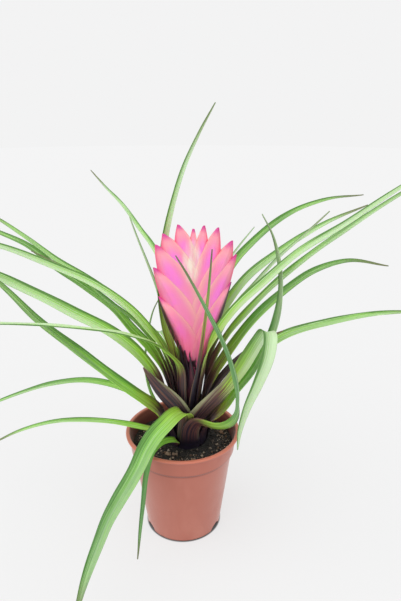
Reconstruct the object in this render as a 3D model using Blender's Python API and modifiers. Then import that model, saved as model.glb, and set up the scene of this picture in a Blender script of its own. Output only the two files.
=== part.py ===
"""A potted pink quill: a small turned pot, its soil, and an air plant with
channelled strap leaves round a flat flower spike of overlapping pink bracts.

Lengths are in millimetres and become metres when the meshes are made.
The origin is the centre of the pot's foot, +Z is up, and the flat side of the
spike faces -Y.
"""

import math
import random

import bmesh
import bpy
from mathutils import Matrix, Vector, noise
from mathutils.geometry import interpolate_bezier

MM = 0.001

# Pot
RIM_R = 45.0
RIM_Z = 86.0
RIM_THICK = 1.6
RIM_WIDTH = 3.0
COLLAR_R = 42.4
COLLAR_BOTTOM_R = 41.0
COLLAR_BOTTOM_Z = 70.5
BODY_TOP_R = 39.2
BODY_TOP_Z = 69.0
FOOT_R = 30.0
WALL = 1.3
FLOOR_TOP = 1.6
POT_STEPS = 48
DRAIN_ANGLES = (90, 210, 330)
DRAIN_WIDTH = 11.0
DRAIN_HEIGHT = 3.2
DRAIN_DEPTH = 16.0
DRAIN_STEPS = 16

# Soil
SOIL_Z = 75.0
SOIL_RELIEF = 1.1
SOIL_RINGS = (0.0, 12.0, 17.0, 22.0, 27.0, 32.0, 36.5)
SOIL_STEPS = 40
SOIL_GAP = 0.35
MOUND = 2.5
MOUND_R = 32.0
MOUND_SLOPE = 14.0
HOLE_Z = 60.0
CHIP_COUNT = 12
CHIP_SECTOR = (200, 285)
CHIP_REACH = (23.0, 34.5)
CHIP_SIZES = ((3.5, 6.5), (2.0, 3.6), (1.8, 2.8))

# Stem, standing in the hole of the soil
STEM_X = 4.0
STEM_R = 16.8
STEM_STEPS = 28
STEM_CONE_Z = 72.5
HOLE_R = STEM_R + 1.0
STALK_R = 5.2
STALK_Z = 93.0
STALK_TOP = Vector((10.0, 0.0, 134.0))
STALK_BRACT_ROWS = 7
STALK_BRACT_BEND_R = 7.0
STALK_BRACT_THICK = 1.0
STALK_BRACT_TIP = 0.9

# Leaves
LAYER_0_R = 16.0
LAYER_PITCH = 1.0
BLADE_THICK = 0.65
SHEATH_LENGTH = 60.0
LEAF_TAPER = 0.45
LEAF_TIP_WIDTH = 0.9
CHANNEL_FOOT = 10.0
CHANNEL_LENGTH = 45.0
CHANNEL_SHARE = 0.8
ROLL_FOOT = 5.0
ROLL_LENGTH = 40.0
ROW_LENGTH = 14.5
NARROW_BLADE = 5.2

# Flower spike
SPIKE_X = 10.3
SCALE_SIDES = 12
SCALE_ROWS = 9
SPIKE_DEPTH = (5.0, 1.2)
SPIKE_Z = (134.0, 250.0)
SCALE_STEP = 0.32
SCALE_FOOT_RISE = 0.3
SCALE_TIP_CURVE = 12
SCALE_MARGIN_CURVE = 60
SCALE_EDGE = 0.25
SCALE_TIP = 0.45
MARGIN_OVERLAP = 2.9

# Every leaf: name, azimuth of its foot, layer (0 is the outermost), width of
# its sheath, width of its blade, the roll that turns its upper face towards
# the front, and the points that its midrib passes. A point is (reach, height)
# in the upright plane of the azimuth, or (x, y, z).
LEAVES = (
    ("leaf_back_left_arch", 118, 9, 7, 5.5, -25,
     [(8, 122), (13, 150), (24, 186), (40, 210), (61, 222), (85, 230), (121, 243), (170, 254),
      (214, 265)]),
    ("leaf_back_left_thread", 142, 6, 5, 3.5, -20,
     [(11, 118), (16, 140), (22, 168), (28, 195), (39, 218), (46, 231), (55, 249)]),
    ("leaf_back_riser", 139, 8, 7, 8.2, -17,
     [(-2.3, 6.6, 122), (-7.5, 9.5, 148), (-13, 10.5, 170), (-15, 11.5, 186), (-15, 13, 215),
      (-11, 16, 242), (-4.6, 22, 267), (2.3, 30, 287), (12.4, 38, 308), (25, 48, 330)]),
    ("leaf_left_far_arch", 164, 7, 8.5, 8, -25,
     [(10, 122), (15.2, 140), (21, 158), (32, 170), (62, 194), (82, 206), (104, 217), (129, 233),
      (150, 245), (182, 258)]),
    ("leaf_left_dark", 172, 5, 18, 9.5, -35,
     [(12, 108), (14.5, 124), (20, 141), (30, 156), (42, 169), (56, 186), (76, 201), (100, 217),
      (116, 230), (138, 240), (178, 252)]),
    ("leaf_left_slim_pair", 179, 6, 7, 5, -25,
     [(11.5, 118), (15.5, 136), (23, 156), (36, 175), (61, 197), (79, 214), (91, 221), (110, 231)]),
    ("leaf_left_light", 190, 9, 7.5, 8.5, -40,
     [(8.2, 122), (11.8, 139), (18, 156), (26, 170), (42, 191), (63, 209), (92, 225), (126, 241),
      (162, 250), (196, 249)]),
    ("leaf_left_broad", 196, 4, 13, 13, -40,
     [(14, 106), (19, 121), (27, 139), (38, 157), (58, 177), (81, 193), (107, 211), (126, 223),
      (165, 240), (205, 243)]),
    ("leaf_left_short_sheath", 258, 3, 16, 19, 45,
     [(2.4, -13.3, 92), (1.5, -14.2, 104), (-4, -15, 115), (-10, -15.8, 123.5), (-16, -16.2, 131),
      (-22, -16, 139), (-27.8, -15.4, 147.5)]),
    ("leaf_left_stiff", 201, 1, 20, 11.5, -40,
     [(17, 93), (25, 108), (37, 121), (52, 136), (75, 161), (107, 196), (126, 222), (148, 246)]),
    ("leaf_left_front_thread", 236, 8, 8, 9.5, -22,
     [(-0.5, -9.5, 125), (-2, -12.5, 147), (-10, -18, 160), (-17, -22, 168), (-35, -30, 179),
      (-61, -42, 189), (-92, -54, 197), (-122, -66, 202), (-150, -77, 198), (-188, -92, 184)]),
    ("leaf_left_low_arch", 171, 0, 6, 7.5, -20,
     [(17.5, 87), (32, 106), (58, 119), (82, 121.5), (108, 117), (134, 107.5), (158, 96.5), (196, 75)]),
    ("leaf_left_lowest", 195, 0, 7, 6, -20,
     [(17, 84), (32, 91), (52, 99), (80, 106.5), (103, 108.5), (126, 105), (147, 97)]),
    ("leaf_left_bow", 146, 0, 5, 3.2, 0,
     [(17, 86), (28, 94), (37, 107), (42, 130), (38, 157), (31, 181), (24, 193)]),
    ("leaf_front_strap", 262, 1, 10, 17.5, -42,
     [(1.6, -17.0, 90), (2.6, -17.9, 101), (3.0, -19.2, 109), (0.8, -22.8, 114), (-4.5, -28.8, 115),
      (-11, -36, 112), (-17.2, -42.5, 108), (-23, -50, 102), (-29.4, -62, 92.8), (-40.2, -80, 81),
      (-46.2, -89, 73), (-51, -97, 63.5), (-55.7, -104, 53), (-60.5, -110.5, 40), (-65, -117, 24),
      (-67, -120, 14)]),
    ("leaf_front_narrow", 230, 0, 7, 5, 0,
     [(-4, -15, 84), (-13, -26, 91.5), (-21, -39, 91), (-24.5, -47, 80), (-27.5, -52, 57),
      (-30, -54, 36), (-33, -56, 8)]),
    ("leaf_front_kinked", 276, 0, 17, 8.8, 0,
     [(6, -18.6, 87), (7.4, -20.6, 98), (11.6, -22.7, 104.8), (17.5, -24.9, 105), (24.2, -27.6, 104.7),
      (31, -30.8, 107), (37, -34.5, 113), (40.4, -37.5, 122), (41, -39.5, 132), (40, -41, 145),
      (37.8, -42, 156), (33.7, -42, 170), (28.9, -42, 182), (22.5, -41, 195),
      (4.8, -36, 227), (-2, -32, 237)]),
    ("leaf_front_thread", 288, 8, 5, 3.6, 0,
     [(8.2, -11.8, 122), (12.3, -14.6, 145), (15.5, -17, 168), (17, -19, 182), (19, -20, 200),
      (22, -20, 238)]),
    ("leaf_right_top_arch", 66, 7, 8, 8, 6,
     [(9.1, 11.4, 122), (11.5, 14.2, 146), (17, 17.2, 165), (25, 19.5, 185), (32.8, 22.8, 205),
      (43.4, 30.8, 219), (52.9, 38.2, 227), (81.2, 60.3, 244), (116.7, 88, 252), (161.6, 123.1, 251)]),
    ("leaf_right_thread", 99, 8, 3.2, 3.2, -20,
     [(3.2, 13.0, 122), (7.3, 17.8, 147), (12.5, 21, 165), (19.5, 26, 185), (28.1, 34.4, 203),
      (41.3, 53.2, 216), (47, 61.4, 221), (59.6, 79.5, 231)]),
    ("leaf_right_curl", 345, 1, 22, 14.5, 35,
     [(20.5, -4.5, 92), (30, -6, 105), (42, -8, 125), (53, -9, 142), (60.5, -9.5, 158),
      (66.5, -10, 171), (70, -13, 190), (71, -14, 206), (70.5, -13, 219), (68, -11, 232),
      (63, -11, 247), (55.5, -11, 260)]),
    ("leaf_right_upper", 29, 8, 8, 9.5, 35,
     [(10, 118), (13, 142), (19, 162), (27.5, 176), (50, 202), (81, 220), (126, 238), (172, 249)]),
    ("leaf_right_slim", 18, 6, 7, 5, 25,
     [(10.8, 116), (14.4, 136), (20, 152), (27.3, 167), (42, 190), (51, 199), (73, 221), (91, 235),
      (113, 253)]),
    ("leaf_right_long", 335, 9, 8, 9, 60,
     [(13.9, -7.1, 120), (16.9, -10, 141), (19.6, -10.8, 157), (24, -11.2, 169), (36.7, -12.2, 190),
      (57.8, -15, 213), (80, -18, 235), (110, -21, 256), (142, -24, 280), (172, -27, 300)]),
    ("leaf_right_long_low", 354, 5, 17, 9.2, 25,
     [(12.2, 112), (17.8, 140), (29.5, 166), (46, 189), (74, 219.5), (111, 250.5), (146, 276.5),
      (178, 298)]),
    ("leaf_right_arch", 7, 4, 18, 10.5, 35,
     [(13.5, 108), (18.5, 126), (33, 153), (55, 182), (75, 200), (94, 213), (118, 220), (152, 215)]),
    ("leaf_right_far", 12, 0, 12, 10.5, 30,
     [(17.5, 87), (29, 106), (48, 137), (74, 158), (112, 167), (174, 171), (204, 168)]),
    ("leaf_right_folded", 296, 2, 24, 15.5, -15,
     [(10.6, -14.6, 94), (13, -15.8, 104), (18, -16.8, 112), (24.3, -18, 120), (33, -19.5, 131.5),
      (41.2, -22, 145.5), (49, -26, 162), (54.5, -32, 176.5), (58, -39, 186), (59.5, -47, 187.5),
      (58, -56, 178), (52, -62, 162), (44, -65, 142), (40, -66, 126), (39, -66, 112)]),
    ("leaf_right_dark_slim", 2, 3, 16, 9.5, 30,
     [(14.5, 103), (20, 120.5), (30, 135.5), (43, 149.5), (58, 162), (72, 169)]),
    ("leaf_back_droop_right", 80, 1, 15, 11, 0,
     [(17, 95), (32, 112), (58, 122), (92, 116), (130, 94), (160, 66), (178, 44)]),
    ("leaf_back_droop_left", 106, 2, 14, 10, 0,
     [(16, 98), (30, 120), (58, 134), (95, 130), (132, 108), (165, 78)]),
)

# Where some leaves twist: start along the leaf, length, degrees.
TWISTS = {
    "leaf_front_kinked": (58.0, 24.0, 72.0),
}

# Every bract of the spike from the lowest up: side, tip x, tip z, height of its
# foot, height where its inner margin crosses the middle of the spike, and how
# far the handle of its keel's curve lies outside the tip.
BRACTS = (
    (1, 36.6, 208.5, 134.0, 157.5, -7.8),
    (-1, -17.0, 197.5, 135.5, 166.0, -6.1),
    (1, 40.1, 229.0, 146, 174.0, -7.0),
    (-1, -19.8, 219.4, 152, 182.8, -3.4),
    (1, 37.1, 239.1, 161, 192.0, 2.0),
    (-1, -18.0, 236.2, 167, 201.0, 1.5),
    (1, 27.2, 248.4, 176, 208.0, 6.0),
    (-1, -12.6, 244.1, 182, 214.5, 5.5),
    (1, 17.4, 249.8, 190, 221.0, 7.5),
    (-1, -2.0, 250.5, 196, 226.0, 7.5),
    (-1, 8.6, 247.5, 204, 226.0, 6.5),
)

# Dark bracts of the stalk: azimuth, foot height, tip height, tip distance from
# the stalk's axis, width.
STALK_BRACTS = (
    (250, 106, 153, 9.9, 9.0),
    (228, 108, 158, 11.4, 8.0),
    (208, 108, 161, 12.6, 8.0),
    (290, 104, 149, 9.2, 7.0),
    (136, 106, 154, 12.0, 8.0),
)

TERRACOTTA = (0.49, 0.17, 0.12, 1.0)
PEAT = (0.012, 0.010, 0.009, 1.0)
STEM_PURPLE = (0.03, 0.012, 0.03, 1.0)
BRACT_PINK = (0.90, 0.16, 0.38, 1.0)
LEAF_GREEN = (0.17, 0.36, 0.07, 1.0)


def clear_scene():
    for old in list(bpy.data.objects):
        bpy.data.objects.remove(old, do_unlink=True)


def new_collection(name):
    made = bpy.data.collections.new(name)
    bpy.context.scene.collection.children.link(made)
    return made


def material(name, colour, roughness):
    made = bpy.data.materials.new(name)
    made.use_nodes = True
    shader = made.node_tree.nodes["Principled BSDF"]
    shader.inputs["Base Color"].default_value = colour
    shader.inputs["Roughness"].default_value = roughness
    shader.inputs["Metallic"].default_value = 0.0
    return made


def mesh_object(name, shape, home, finish=None):
    """Turns a bmesh in millimetres into an object in metres."""
    bmesh.ops.scale(shape, vec=(MM, MM, MM), verts=shape.verts)
    mesh = bpy.data.meshes.new(name)
    shape.to_mesh(mesh)
    shape.free()
    made = bpy.data.objects.new(name, mesh)
    home.objects.link(made)
    if finish:
        mesh.materials.append(finish)
    return made


def apply_modifiers(made):
    """Keeps the evaluated mesh of an object and drops its modifiers."""
    graph = bpy.context.evaluated_depsgraph_get()
    graph.update()
    final = bpy.data.meshes.new_from_object(made.evaluated_get(graph))
    made.modifiers.clear()
    made.data = final
    return made


def shade(made, degrees=35):
    made.data.shade_smooth()
    made.data.set_sharp_from_angle(angle=math.radians(degrees))
    return made


def turned(name, profile, steps, home, finish=None):
    """Turns a profile of (radius, height) points, outer side top to bottom."""
    shape = bmesh.new()
    points = [shape.verts.new((radius, 0.0, height)) for radius, height in profile]
    for first, second in zip(points, points[1:]):
        shape.edges.new((first, second))
    made = mesh_object(name, shape, home, finish)
    screw = made.modifiers.new("turn", "SCREW")
    screw.angle = math.tau
    screw.steps = steps
    screw.render_steps = steps
    screw.use_merge_vertices = True
    screw.merge_threshold = 0.00001
    return made


def join_all(body, pieces, workshop):
    """Fuses the pieces into the body by one union, then removes them."""
    for piece in pieces:
        piece.hide_render = True
    union = body.modifiers.new("join", "BOOLEAN")
    union.operation = "UNION"
    union.solver = "EXACT"
    union.operand_type = "COLLECTION"
    union.collection = workshop
    apply_modifiers(body)
    for piece in pieces:
        bpy.data.objects.remove(piece, do_unlink=True)
    return body


def pot_inner_radius(height):
    """Inside radius of the pot's wall below the collar."""
    return FOOT_R - WALL + (BODY_TOP_R - FOOT_R) * height / BODY_TOP_Z


def make_pot(home, cutters, finish):
    profile = (
        (0.0, FLOOR_TOP),
        (pot_inner_radius(FLOOR_TOP), FLOOR_TOP),
        (pot_inner_radius(BODY_TOP_Z), BODY_TOP_Z + 1.0),
        (COLLAR_BOTTOM_R - WALL, COLLAR_BOTTOM_Z + 1.5),
        (RIM_R - RIM_WIDTH, RIM_Z - 0.5),
        (RIM_R - RIM_WIDTH + 0.5, RIM_Z),
        (RIM_R - 0.5, RIM_Z),
        (RIM_R, RIM_Z - 0.6),
        (RIM_R, RIM_Z - RIM_THICK),
        (RIM_R - 0.5, RIM_Z - RIM_THICK - 0.5),
        (COLLAR_R + 0.5, RIM_Z - RIM_THICK - 0.8),
        (COLLAR_R, RIM_Z - RIM_THICK - 1.6),
        (COLLAR_BOTTOM_R, COLLAR_BOTTOM_Z),
        (COLLAR_BOTTOM_R - 0.5, COLLAR_BOTTOM_Z - 0.6),
        (BODY_TOP_R, BODY_TOP_Z),
        (FOOT_R + 0.3, 1.2),
        (FOOT_R - 0.3, 0.0),
        (0.0, 0.0),
    )
    pot = apply_modifiers(turned("pot", profile, POT_STEPS, home, finish))
    for degrees in DRAIN_ANGLES:
        cut = pot.modifiers.new("drain", "BOOLEAN")
        cut.operation = "DIFFERENCE"
        cut.solver = "EXACT"
        cut.object = drain_cutter(degrees, cutters)
    apply_modifiers(pot)
    return shade(pot)


def drain_cutter(degrees, cutters):
    """A flattened round bar that cuts one arched slot through the foot."""
    shape = bmesh.new()
    place = Matrix.Rotation(math.radians(degrees), 4, "Z") @ Matrix.Translation((FOOT_R, 0.0, -0.2))
    place = place @ Matrix.Diagonal((1.0, DRAIN_WIDTH / 2, DRAIN_HEIGHT, 1.0))
    place = place @ Matrix.Rotation(math.pi / 2, 4, "Y")
    round_bar(shape, DRAIN_STEPS, 1.0, DRAIN_DEPTH, place)
    return as_cutter(mesh_object("drain_cutter", shape, cutters))


def round_bar(shape, steps, radius, length, place):
    """Adds a closed round bar, centred at the place, along its Z."""
    bmesh.ops.create_cone(
        shape, cap_ends=True, segments=steps, radius1=radius, radius2=radius, depth=length, matrix=place
    )
    bmesh.ops.recalc_face_normals(shape, faces=shape.faces)


def as_cutter(made):
    made.hide_render = True
    made.display_type = "WIRE"
    return made


def soil_height(x, y):
    """Uneven top of the soil, with a low mound round the stem."""
    coarse = noise.noise(Vector((x, y, 3.0)) / 9.0)
    fine = noise.noise(Vector((x, y, 8.0)) / 3.5)
    across = math.hypot(x - STEM_X, y)
    return SOIL_Z + SOIL_RELIEF * (coarse + 0.6 * fine) + MOUND * ease((MOUND_R - across) / MOUND_SLOPE)


def make_soil(home, cutters, workshop, finish):
    low = FLOOR_TOP + SOIL_GAP
    edge = COLLAR_BOTTOM_R - WALL - 2 * SOIL_GAP
    profile = [(radius, SOIL_Z) for radius in SOIL_RINGS]
    profile += [
        (edge, SOIL_Z),
        (edge, COLLAR_BOTTOM_Z + 2.5),
        (pot_inner_radius(BODY_TOP_Z) - 2 * SOIL_GAP, BODY_TOP_Z),
        (pot_inner_radius(low) - SOIL_GAP, low),
        (0.0, low),
    ]
    soil = apply_modifiers(turned("potting_soil", profile, SOIL_STEPS, home, finish))
    for point in soil.data.vertices:
        x = point.co.x / MM
        y = point.co.y / MM
        if point.co.z / MM > SOIL_Z - 0.5:
            point.co.z = soil_height(x, y) * MM
    join_all(soil, soil_chips(workshop), workshop)
    cut = soil.modifiers.new("hole", "BOOLEAN")
    cut.operation = "DIFFERENCE"
    cut.solver = "EXACT"
    cut.object = hole_cutter(cutters)
    return apply_modifiers(soil)


def hole_cutter(cutters):
    """A round bar that cuts the stem's hole into the soil."""
    top = SOIL_Z + 10.0
    shape = bmesh.new()
    place = Matrix.Translation((STEM_X, 0.0, (HOLE_Z + top) / 2))
    round_bar(shape, STEM_STEPS, HOLE_R, top - HOLE_Z, place)
    return as_cutter(mesh_object("hole_cutter", shape, cutters))


def soil_chips(workshop):
    """Bark chips, sunk into the soil, thickest at the front left."""
    dice = random.Random(7)
    chips = []
    for number in range(CHIP_COUNT):
        angle = math.radians(dice.uniform(*CHIP_SECTOR) if number % 3 else dice.uniform(0, 360))
        reach = dice.uniform(*CHIP_REACH)
        x = reach * math.cos(angle)
        y = reach * math.sin(angle)
        turn = Matrix.Rotation(dice.uniform(0, math.tau), 4, "Z")
        turn = turn @ Matrix.Rotation(dice.uniform(-0.5, 0.5), 4, "X")
        size = [dice.uniform(*span) for span in CHIP_SIZES]
        place = Matrix.Translation((x, y, soil_height(x, y) + 0.3)) @ turn
        place = place @ Matrix.Diagonal((*size, 1.0))
        shape = bmesh.new()
        bmesh.ops.create_cube(shape, size=1.0, matrix=place)
        chips.append(mesh_object(f"chip_{number}", shape, workshop))
    return chips


def layer_radius(layer):
    return LAYER_0_R - LAYER_PITCH * layer


def sheath_foot(layer):
    """Height of a layer's foot on the cone of the stem."""
    slope = (STALK_Z - STEM_CONE_Z) / (STEM_R - STALK_R)
    return STEM_CONE_Z + (STEM_R - layer_radius(layer) + BLADE_THICK) * slope + 0.4


def midrib_knots(azimuth, layer, points):
    """The points of a leaf's midrib, from its foot on the stem to its tip."""
    angle = math.radians(azimuth)
    away = Vector((math.cos(angle), math.sin(angle), 0.0))
    root = Vector((STEM_X, 0.0, 0.0)) + away * layer_radius(layer)
    foot = sheath_foot(layer)
    knots = [root + Vector((0.0, 0.0, foot)), root + Vector((0.0, 0.0, foot + 5.0))]
    for point in points:
        if len(point) == 2:
            knots.append(Vector((STEM_X, 0.0, point[1])) + away * point[0])
        else:
            knots.append(Vector(point))
    return knots, away


def smooth_path(knots, steps=14):
    """A smooth curve through the knots, as closely spaced points."""
    spans = [(b - a).length for a, b in zip(knots, knots[1:])]
    slopes = [(b - a) / span for a, b, span in zip(knots, knots[1:], spans)]
    tangents = [slopes[0]]
    for i in range(1, len(knots) - 1):
        mixed = slopes[i] * spans[i - 1] + slopes[i - 1] * spans[i]
        tangents.append(mixed / (spans[i] + spans[i - 1]))
    tangents.append(slopes[-1])
    path = []
    for i, span in enumerate(spans):
        first = knots[i] + tangents[i] * span / 3
        second = knots[i + 1] - tangents[i + 1] * span / 3
        path += interpolate_bezier(knots[i], first, second, knots[i + 1], steps + 1)[:-1]
    path.append(knots[-1])
    return path


def even_stations(path, rows):
    """Points at equal steps along the path, and its whole length."""
    reached = [0.0]
    for a, b in zip(path, path[1:]):
        reached.append(reached[-1] + (b - a).length)
    stations = []
    index = 0
    for row in range(rows + 1):
        wanted = reached[-1] * row / rows
        while index < len(path) - 2 and reached[index + 1] < wanted:
            index += 1
        part = (wanted - reached[index]) / (reached[index + 1] - reached[index])
        stations.append(path[index].lerp(path[index + 1], min(1.0, part)))
    return stations, reached[-1]


def ribbon_frames(stations, inward):
    """Side and inward directions at each station, turning as little as can be."""
    frames = []
    normal = inward
    for i in range(len(stations)):
        ahead = stations[min(i + 1, len(stations) - 1)] - stations[max(i - 1, 0)]
        ahead.normalize()
        normal = (normal - ahead * normal.dot(ahead)).normalized()
        frames.append((ahead.cross(normal).normalized(), normal))
    return frames


def ease(value):
    value = max(0.0, min(1.0, value))
    return value * value * (3 - 2 * value)


def leaf_width(share, along, sheath, blade):
    """Width of a leaf: sheath at the foot, long taper, fine tip."""
    lower = sheath + (blade - sheath) * ease(along / SHEATH_LENGTH)
    taper = (1 - LEAF_TAPER * share) * (1 - share**4) ** 0.9
    return LEAF_TIP_WIDTH + (lower - LEAF_TIP_WIDTH) * taper


def channel_radius(along, width, foot_radius):
    """Radius of the cross-section: the stem's at the foot, a channel above."""
    channel = max(2.0, CHANNEL_SHARE * width)
    return foot_radius + (channel - foot_radius) * ease((along - CHANNEL_FOOT) / CHANNEL_LENGTH)


def rolled(side, normal, degrees):
    """The two directions across a leaf, turned about its length."""
    turn = math.radians(degrees)
    return side * math.cos(turn) - normal * math.sin(turn), normal * math.cos(turn) + side * math.sin(turn)


def leaf_mesh(name, azimuth, layer, sheath, blade, roll, points):
    """A thin channelled ribbon along the midrib."""
    twist_start, twist_length, twist = TWISTS.get(name, (0.0, 1.0, 0.0))
    knots, away = midrib_knots(azimuth, layer, points)
    path = smooth_path(knots)
    length = sum((b - a).length for a, b in zip(path, path[1:]))
    rows = max(9, round(length / ROW_LENGTH))
    cells = 4 if blade > NARROW_BLADE else 2
    stations, length = even_stations(path, rows)
    frames = ribbon_frames(stations, -away)
    shape = bmesh.new()
    bmesh.ops.create_grid(shape, x_segments=cells, y_segments=rows, size=0.5)
    for point in shape.verts:
        row = round((point.co.y + 0.5) * rows)
        share = row / rows
        along = share * length
        width = leaf_width(share, along, sheath, blade)
        radius = channel_radius(along, width, layer_radius(layer))
        bend = point.co.x * width / radius
        turn = roll * ease((along - ROLL_FOOT * (1 + layer)) / ROLL_LENGTH)
        turn += twist * ease((along - twist_start) / twist_length)
        side, normal = rolled(*frames[row], turn)
        point.co = stations[row] + side * radius * math.sin(bend) + normal * radius * (1 - math.cos(bend))
    bmesh.ops.triangulate(shape, faces=shape.faces, quad_method="FIXED")
    return shape


def make_leaf(name, azimuth, layer, sheath, blade, roll, points, home, finish):
    shape = leaf_mesh(name, azimuth, layer, sheath, blade, roll, points)
    leaf = mesh_object(name, shape, home, finish)
    thick = leaf.modifiers.new("thickness", "SOLIDIFY")
    thick.thickness = BLADE_THICK * MM
    thick.offset = 0.0
    return shade(leaf, 60)


def stalk_bract(number, azimuth, foot, tip, reach, width, workshop):
    """One dark scale that clasps the stalk and the foot of the spike."""
    angle = math.radians(azimuth)
    away = Vector((math.cos(angle), math.sin(angle), 0.0))
    middle = (foot + tip) / 2
    knots = []
    steps = ((2.5, foot), (5.4, foot + 10), (0.72 * reach + 1.2, middle + 6), (reach, tip))
    for distance, height in steps:
        knots.append(stalk_centre(height) + away * distance)
    stations, _ = even_stations(smooth_path(knots), STALK_BRACT_ROWS)
    frames = ribbon_frames(stations, -away)
    radius = STALK_BRACT_BEND_R
    shape = bmesh.new()
    bmesh.ops.create_grid(shape, x_segments=4, y_segments=STALK_BRACT_ROWS, size=0.5)
    for point in shape.verts:
        row = round((point.co.y + 0.5) * STALK_BRACT_ROWS)
        share = row / STALK_BRACT_ROWS
        bend = point.co.x * (STALK_BRACT_TIP + (width - STALK_BRACT_TIP) * (1 - share**3)) / radius
        side, normal = frames[row]
        point.co = stations[row] + side * radius * math.sin(bend) + normal * radius * (1 - math.cos(bend))
    bmesh.ops.triangulate(shape, faces=shape.faces, quad_method="FIXED")
    scale = mesh_object(f"stalk_bract_{number}", shape, workshop)
    thick = scale.modifiers.new("thickness", "SOLIDIFY")
    thick.thickness = STALK_BRACT_THICK * MM
    thick.offset = 0.0
    return apply_modifiers(scale)


def stalk_centre(height):
    share = min(1.0, (height - STALK_Z) / (STALK_TOP.z - STALK_Z))
    return Vector((STEM_X + (STALK_TOP.x - STEM_X) * share, 0.0, height))


def make_stem(home, workshop, finish):
    """Cone that carries the leaves, the leaning stalk and its dark bracts."""
    profile = (
        (0.0, STALK_TOP.z - 0.4),
        (3.6, STALK_TOP.z - 0.6),
        (4.4, STALK_TOP.z - 3.0),
        (STALK_R, STALK_Z + 8.0),
        (STALK_R, STALK_Z),
        (STEM_R, STEM_CONE_Z),
        (STEM_R, STEM_CONE_Z - 6.0),
        (STEM_R - 4.0, HOLE_Z + SOIL_GAP),
        (0.0, HOLE_Z + SOIL_GAP),
    )
    stem = apply_modifiers(turned("flower_stem", profile, STEM_STEPS, home, finish))
    for point in stem.data.vertices:
        height = point.co.z / MM
        point.co.x += (stalk_centre(height).x if height > STALK_Z else STEM_X) * MM
    bracts = [stalk_bract(i, *values, workshop) for i, values in enumerate(STALK_BRACTS)]
    return shade(join_all(stem, bracts, workshop))


def spike_depth(height):
    """Half the depth of the spike's core, which thins towards its top."""
    share = (height - SPIKE_Z[0]) / (SPIKE_Z[1] - SPIKE_Z[0])
    return SPIKE_DEPTH[0] + (SPIKE_DEPTH[1] - SPIKE_DEPTH[0]) * max(0.0, min(1.0, share))


def curve_point(first, handle, last, share):
    return first.lerp(handle, share).lerp(handle.lerp(last, share), share)


def bract_outline(side, tip, foot, crossing, bulge, share):
    """Keel point and inner margin point of a bract, in the x-z plane."""
    keel_foot = Vector((SPIKE_X + side * 1.5, foot))
    keel_handle = Vector((tip.x + side * bulge, foot + 0.5 * (tip.y - foot)))
    keel = curve_point(keel_foot, keel_handle, tip, share)
    cross = Vector((SPIKE_X - side * MARGIN_OVERLAP, crossing))
    turn = (crossing - foot) / (tip.y - foot)
    if share < turn:
        start = Vector((SPIKE_X - side * 1.5, foot))
        return keel, start.lerp(cross, share / turn)
    handle = cross + Vector((0.25 * (tip.x - cross.x), 0.6 * (tip.y - cross.y)))
    end = tip + Vector((-side * 0.5, -0.6))
    return keel, curve_point(cross, handle, end, (share - turn) / (1 - turn))


def bract_scale(number, side, tip_x, tip_z, foot, crossing, bulge, workshop):
    """One folded bract, as a flat pointed solid with a sharp keel."""
    tip = Vector((tip_x, tip_z))
    shape = bmesh.new()
    bmesh.ops.create_cone(shape, cap_ends=True, segments=SCALE_SIDES, radius1=1.0, radius2=1.0, depth=1.0)
    upright = [edge for edge in shape.edges if abs(edge.verts[0].co.z - edge.verts[1].co.z) > 0.5]
    bmesh.ops.subdivide_edges(shape, edges=upright, cuts=SCALE_ROWS - 1, use_grid_fill=True)
    for point in shape.verts:
        share = point.co.z + 0.5
        across = (1 - point.co.x / math.hypot(point.co.x, point.co.y)) / 2
        front = -1 if point.co.y < -1e-4 else (1 if point.co.y > 1e-4 else 0)
        keel, margin = bract_outline(side, tip, foot, crossing, bulge, share)
        place = keel.lerp(margin, across)
        depth = spike_depth(place.y) + SCALE_STEP * (len(BRACTS) - 1 - number)
        depth *= (0.5 + 0.5 * ease(share / SCALE_FOOT_RISE)) * (1 - share**SCALE_TIP_CURVE)
        depth += SCALE_TIP
        depth *= min(1.0, across / 0.4) ** 0.8 * math.sqrt(1 - across**SCALE_MARGIN_CURVE)
        point.co = Vector((place.x, front * max(depth, SCALE_EDGE), place.y))
    bmesh.ops.recalc_face_normals(shape, faces=shape.faces)
    return mesh_object(f"bract_{number}", shape, workshop)


def make_quill(home, workshop, finish):
    """Flat spike: two ranks of bracts, each over the next one up."""
    scales = [bract_scale(i, *values, workshop) for i, values in enumerate(BRACTS)]
    body = scales[0]
    workshop.objects.unlink(body)
    home.objects.link(body)
    body.name = "quill"
    body.data.materials.append(finish)
    return shade(join_all(body, scales[1:], workshop))


def main():
    clear_scene()
    home = new_collection("potted_pink_quill")
    cutters = new_collection("cutters")
    workshop = new_collection("workshop")
    leaf_green = material("leaf_green", LEAF_GREEN, 0.4)
    make_pot(home, cutters, material("terracotta_plastic", TERRACOTTA, 0.45))
    make_soil(home, cutters, workshop, material("peat", PEAT, 0.95))
    make_stem(home, workshop, material("stem_purple", STEM_PURPLE, 0.5))
    make_quill(home, workshop, material("bract_pink", BRACT_PINK, 0.5))
    for leaf in LEAVES:
        make_leaf(*leaf, home, leaf_green)


main()
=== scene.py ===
"""Looks of a potted pink quill: strap leaves, pink bracts, peat and a small plastic pot.

Lengths are in millimetres and become metres when a mesh is made. The origin is
the centre of the pot's foot, +Z is up and the flat side of the spike faces -Y.
"""

import math
import random

import bmesh
import bpy
from mathutils import Matrix, Vector, noise
from mathutils.geometry import interpolate_bezier


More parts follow.
